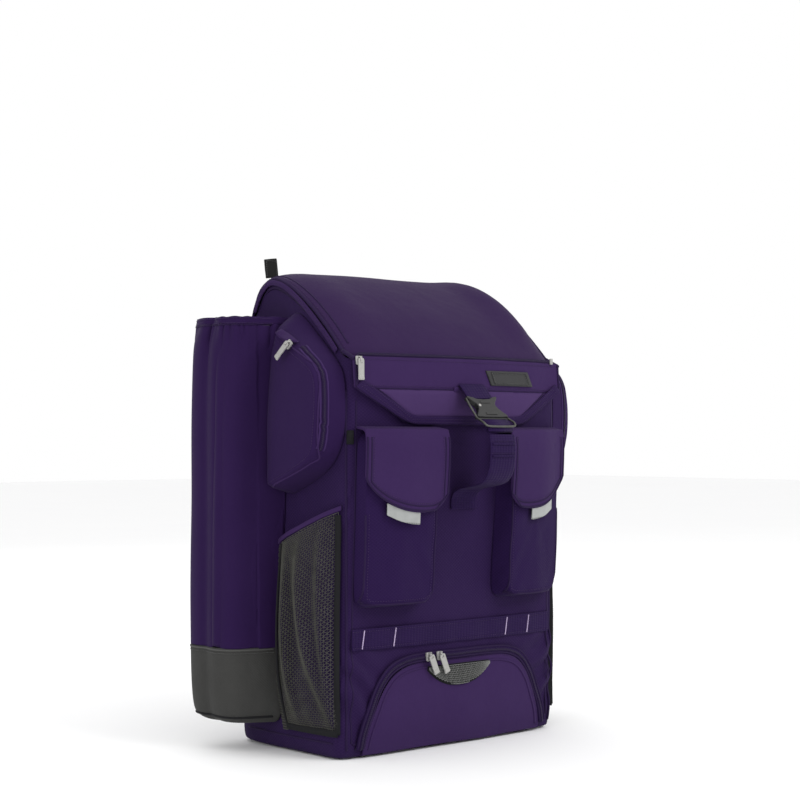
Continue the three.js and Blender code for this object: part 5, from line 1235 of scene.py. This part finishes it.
def puffed(piece, pressure=3.0, cap=0.004):
    """Lets a padded piece swell under pressure, each point by no more than cap."""
    rest = [v.co.copy() for v in piece.data.vertices]
    cloth = piece.modifiers.new("puff", "CLOTH")
    cloth.settings.use_pressure = True
    cloth.settings.uniform_pressure_force = pressure
    cloth.settings.effector_weights.gravity = 0
    cloth.point_cache.frame_end = 20
    for k in range(1, 21):
        bpy.context.scene.frame_set(k)
    settle(piece)
    for vertex, start in zip(piece.data.vertices, rest):
        way = vertex.co - start
        if way.length > cap:
            vertex.co = start + way.normalized() * cap
    bpy.context.scene.frame_set(1)
    return piece


def padded_piece(name, node, voxel=0.006):
    piece = cloth_from(name, node, levels=1)
    remesh = piece.modifiers.new("remesh", "REMESH")
    remesh.mode = "VOXEL"
    remesh.voxel_size = voxel
    settle(piece)
    puffed(piece)
    piece.modifiers.new("rounding", "SUBSURF").levels = 1
    return settle(piece)


pad = padded_piece("back_pad_cloth", "back_pad")
dress(pad, air_mesh, "padding", "back_pad")
pad_skin = skin_of(pad)
pad_ring = [
    (-0.93, -1), (0.93, -1), (1, -0.93), (1, 0.93), (0.93, 1),
    (-0.93, 1), (-1, 0.93), (-1, -0.93), (-0.93, -1),
]
pad_rim = [(0.128 * a, 0.27 + 0.187 * b) for a, b in pad_ring]
rim_path = laid(pad_skin, paced(pad_rim, 0.005), "back")
sewn("pad_binding", rim_path, band_section(0.008, 0.0016), dark_cord, "padding")
for z in (0.214, 0.342):
    path = laid(pad_skin, paced([(-0.115, z), (0.115, z)], 0.0036), "back")
    stitch_row("pad_quilting", path, grey_thread, "padding")
shoulder = padded_piece("shoulder_strap_cloth_left", "shoulder_strap_left")
for piece in both_sides(shoulder, air_mesh, "padding", "shoulder_strap_left"):
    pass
shoulder_skin = skin_of(shoulder)
SHOULDER_LINE = [
    (-0.064, 0.0165, 0.478), (-0.075, 0.0235, 0.45), (-0.083, 0.0240, 0.40),
    (-0.089, 0.0230, 0.34), (-0.096, 0.0190, 0.27), (-0.1005, 0.0120, 0.215),
]
for side in (-1, 1):
    line = [(x - half * side, z) for x, half, z in SHOULDER_LINE]
    path = laid(shoulder_skin, paced(curved(line, 60), 0.0036), "back")
    stitch_row("shoulder_stitches_left", path, grey_thread, "padding")


# The ladder locks: moulded black plastic frames sewn to the shoulder straps' feet. The webbing that
# adjusts each strap is ribbed nylon, threaded through its lock and sewn into the bag's base.
lock = cloth_from("ladder_lock_body_left", "ladder_lock_left", sharp=30, crease=0.9)
both_sides(lock, black_plastic, "plastic", "ladder_lock_left")
loop_run = [(0.1500, 0.2080), (0.1472, 0.1985), (0.1440, 0.1925), (0.1425, 0.1880)]
loop_path = [(Vector((-0.1027, y, z)), Vector((0, 0.94, 0.34))) for y, z in loop_run]
loop_section = [(-0.0115, -0.001), (0.0115, -0.001), (0.0115, 0.001), (-0.0115, 0.001)]
sewn("lock_loop_left", loop_path, loop_section, web_cloth, "webbing")
lower = cloth_from("lower_webbing_left_web", "lower_webbing_left", sharp=50, crease=0.9)
both_sides(flat_map(lower), web_cloth, "webbing", "lower_webbing_left")


# The haul handle: a loop of the same webbing to carry the bag by. It arches out over the pad, and
# its two ends are sewn into the back just under the lid.
handle = cloth_from("haul_handle_web", "haul_handle", sharp=50, crease=0.6)
dress(flat_map(handle), web_cloth, "webbing", "haul_handle")


# The corner tag: a folded label of black woven tape, bare on both sides, sewn into the lid's seam.
tag = cloth_from("corner_tag_tape", "corner_tag", levels=3, sharp=30, crease=0.95)
moved(tag, lambda p, n: 0.0004 * noise.noise(Vector((p.x * 60, p.z * 60, 1.0))))
tag_skin = skin_of(tag)
tag_tape = cloth_finish("tag_tape", (0.010, 0.010, 0.010), (0.022, 0.022, 0.021), thread=0.0007)
dress(flat_map(tag), tag_tape, "boot", "corner_tag")
box_low, box_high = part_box("corner_tag")
tag_left, tag_right, tag_foot, tag_top = box_low[0], box_high[0], box_low[2] + 0.004, box_high[2] - 0.004
rim = [
    (tag_left + 0.004, tag_foot),
    (tag_left + 0.003, tag_top),
    (tag_right - 0.004, tag_top),
    (tag_right - 0.003, tag_foot),
]
stitch_row("tag_stitches", laid(tag_skin, paced(rim, 0.0028), "front"), grey_thread, "boot")
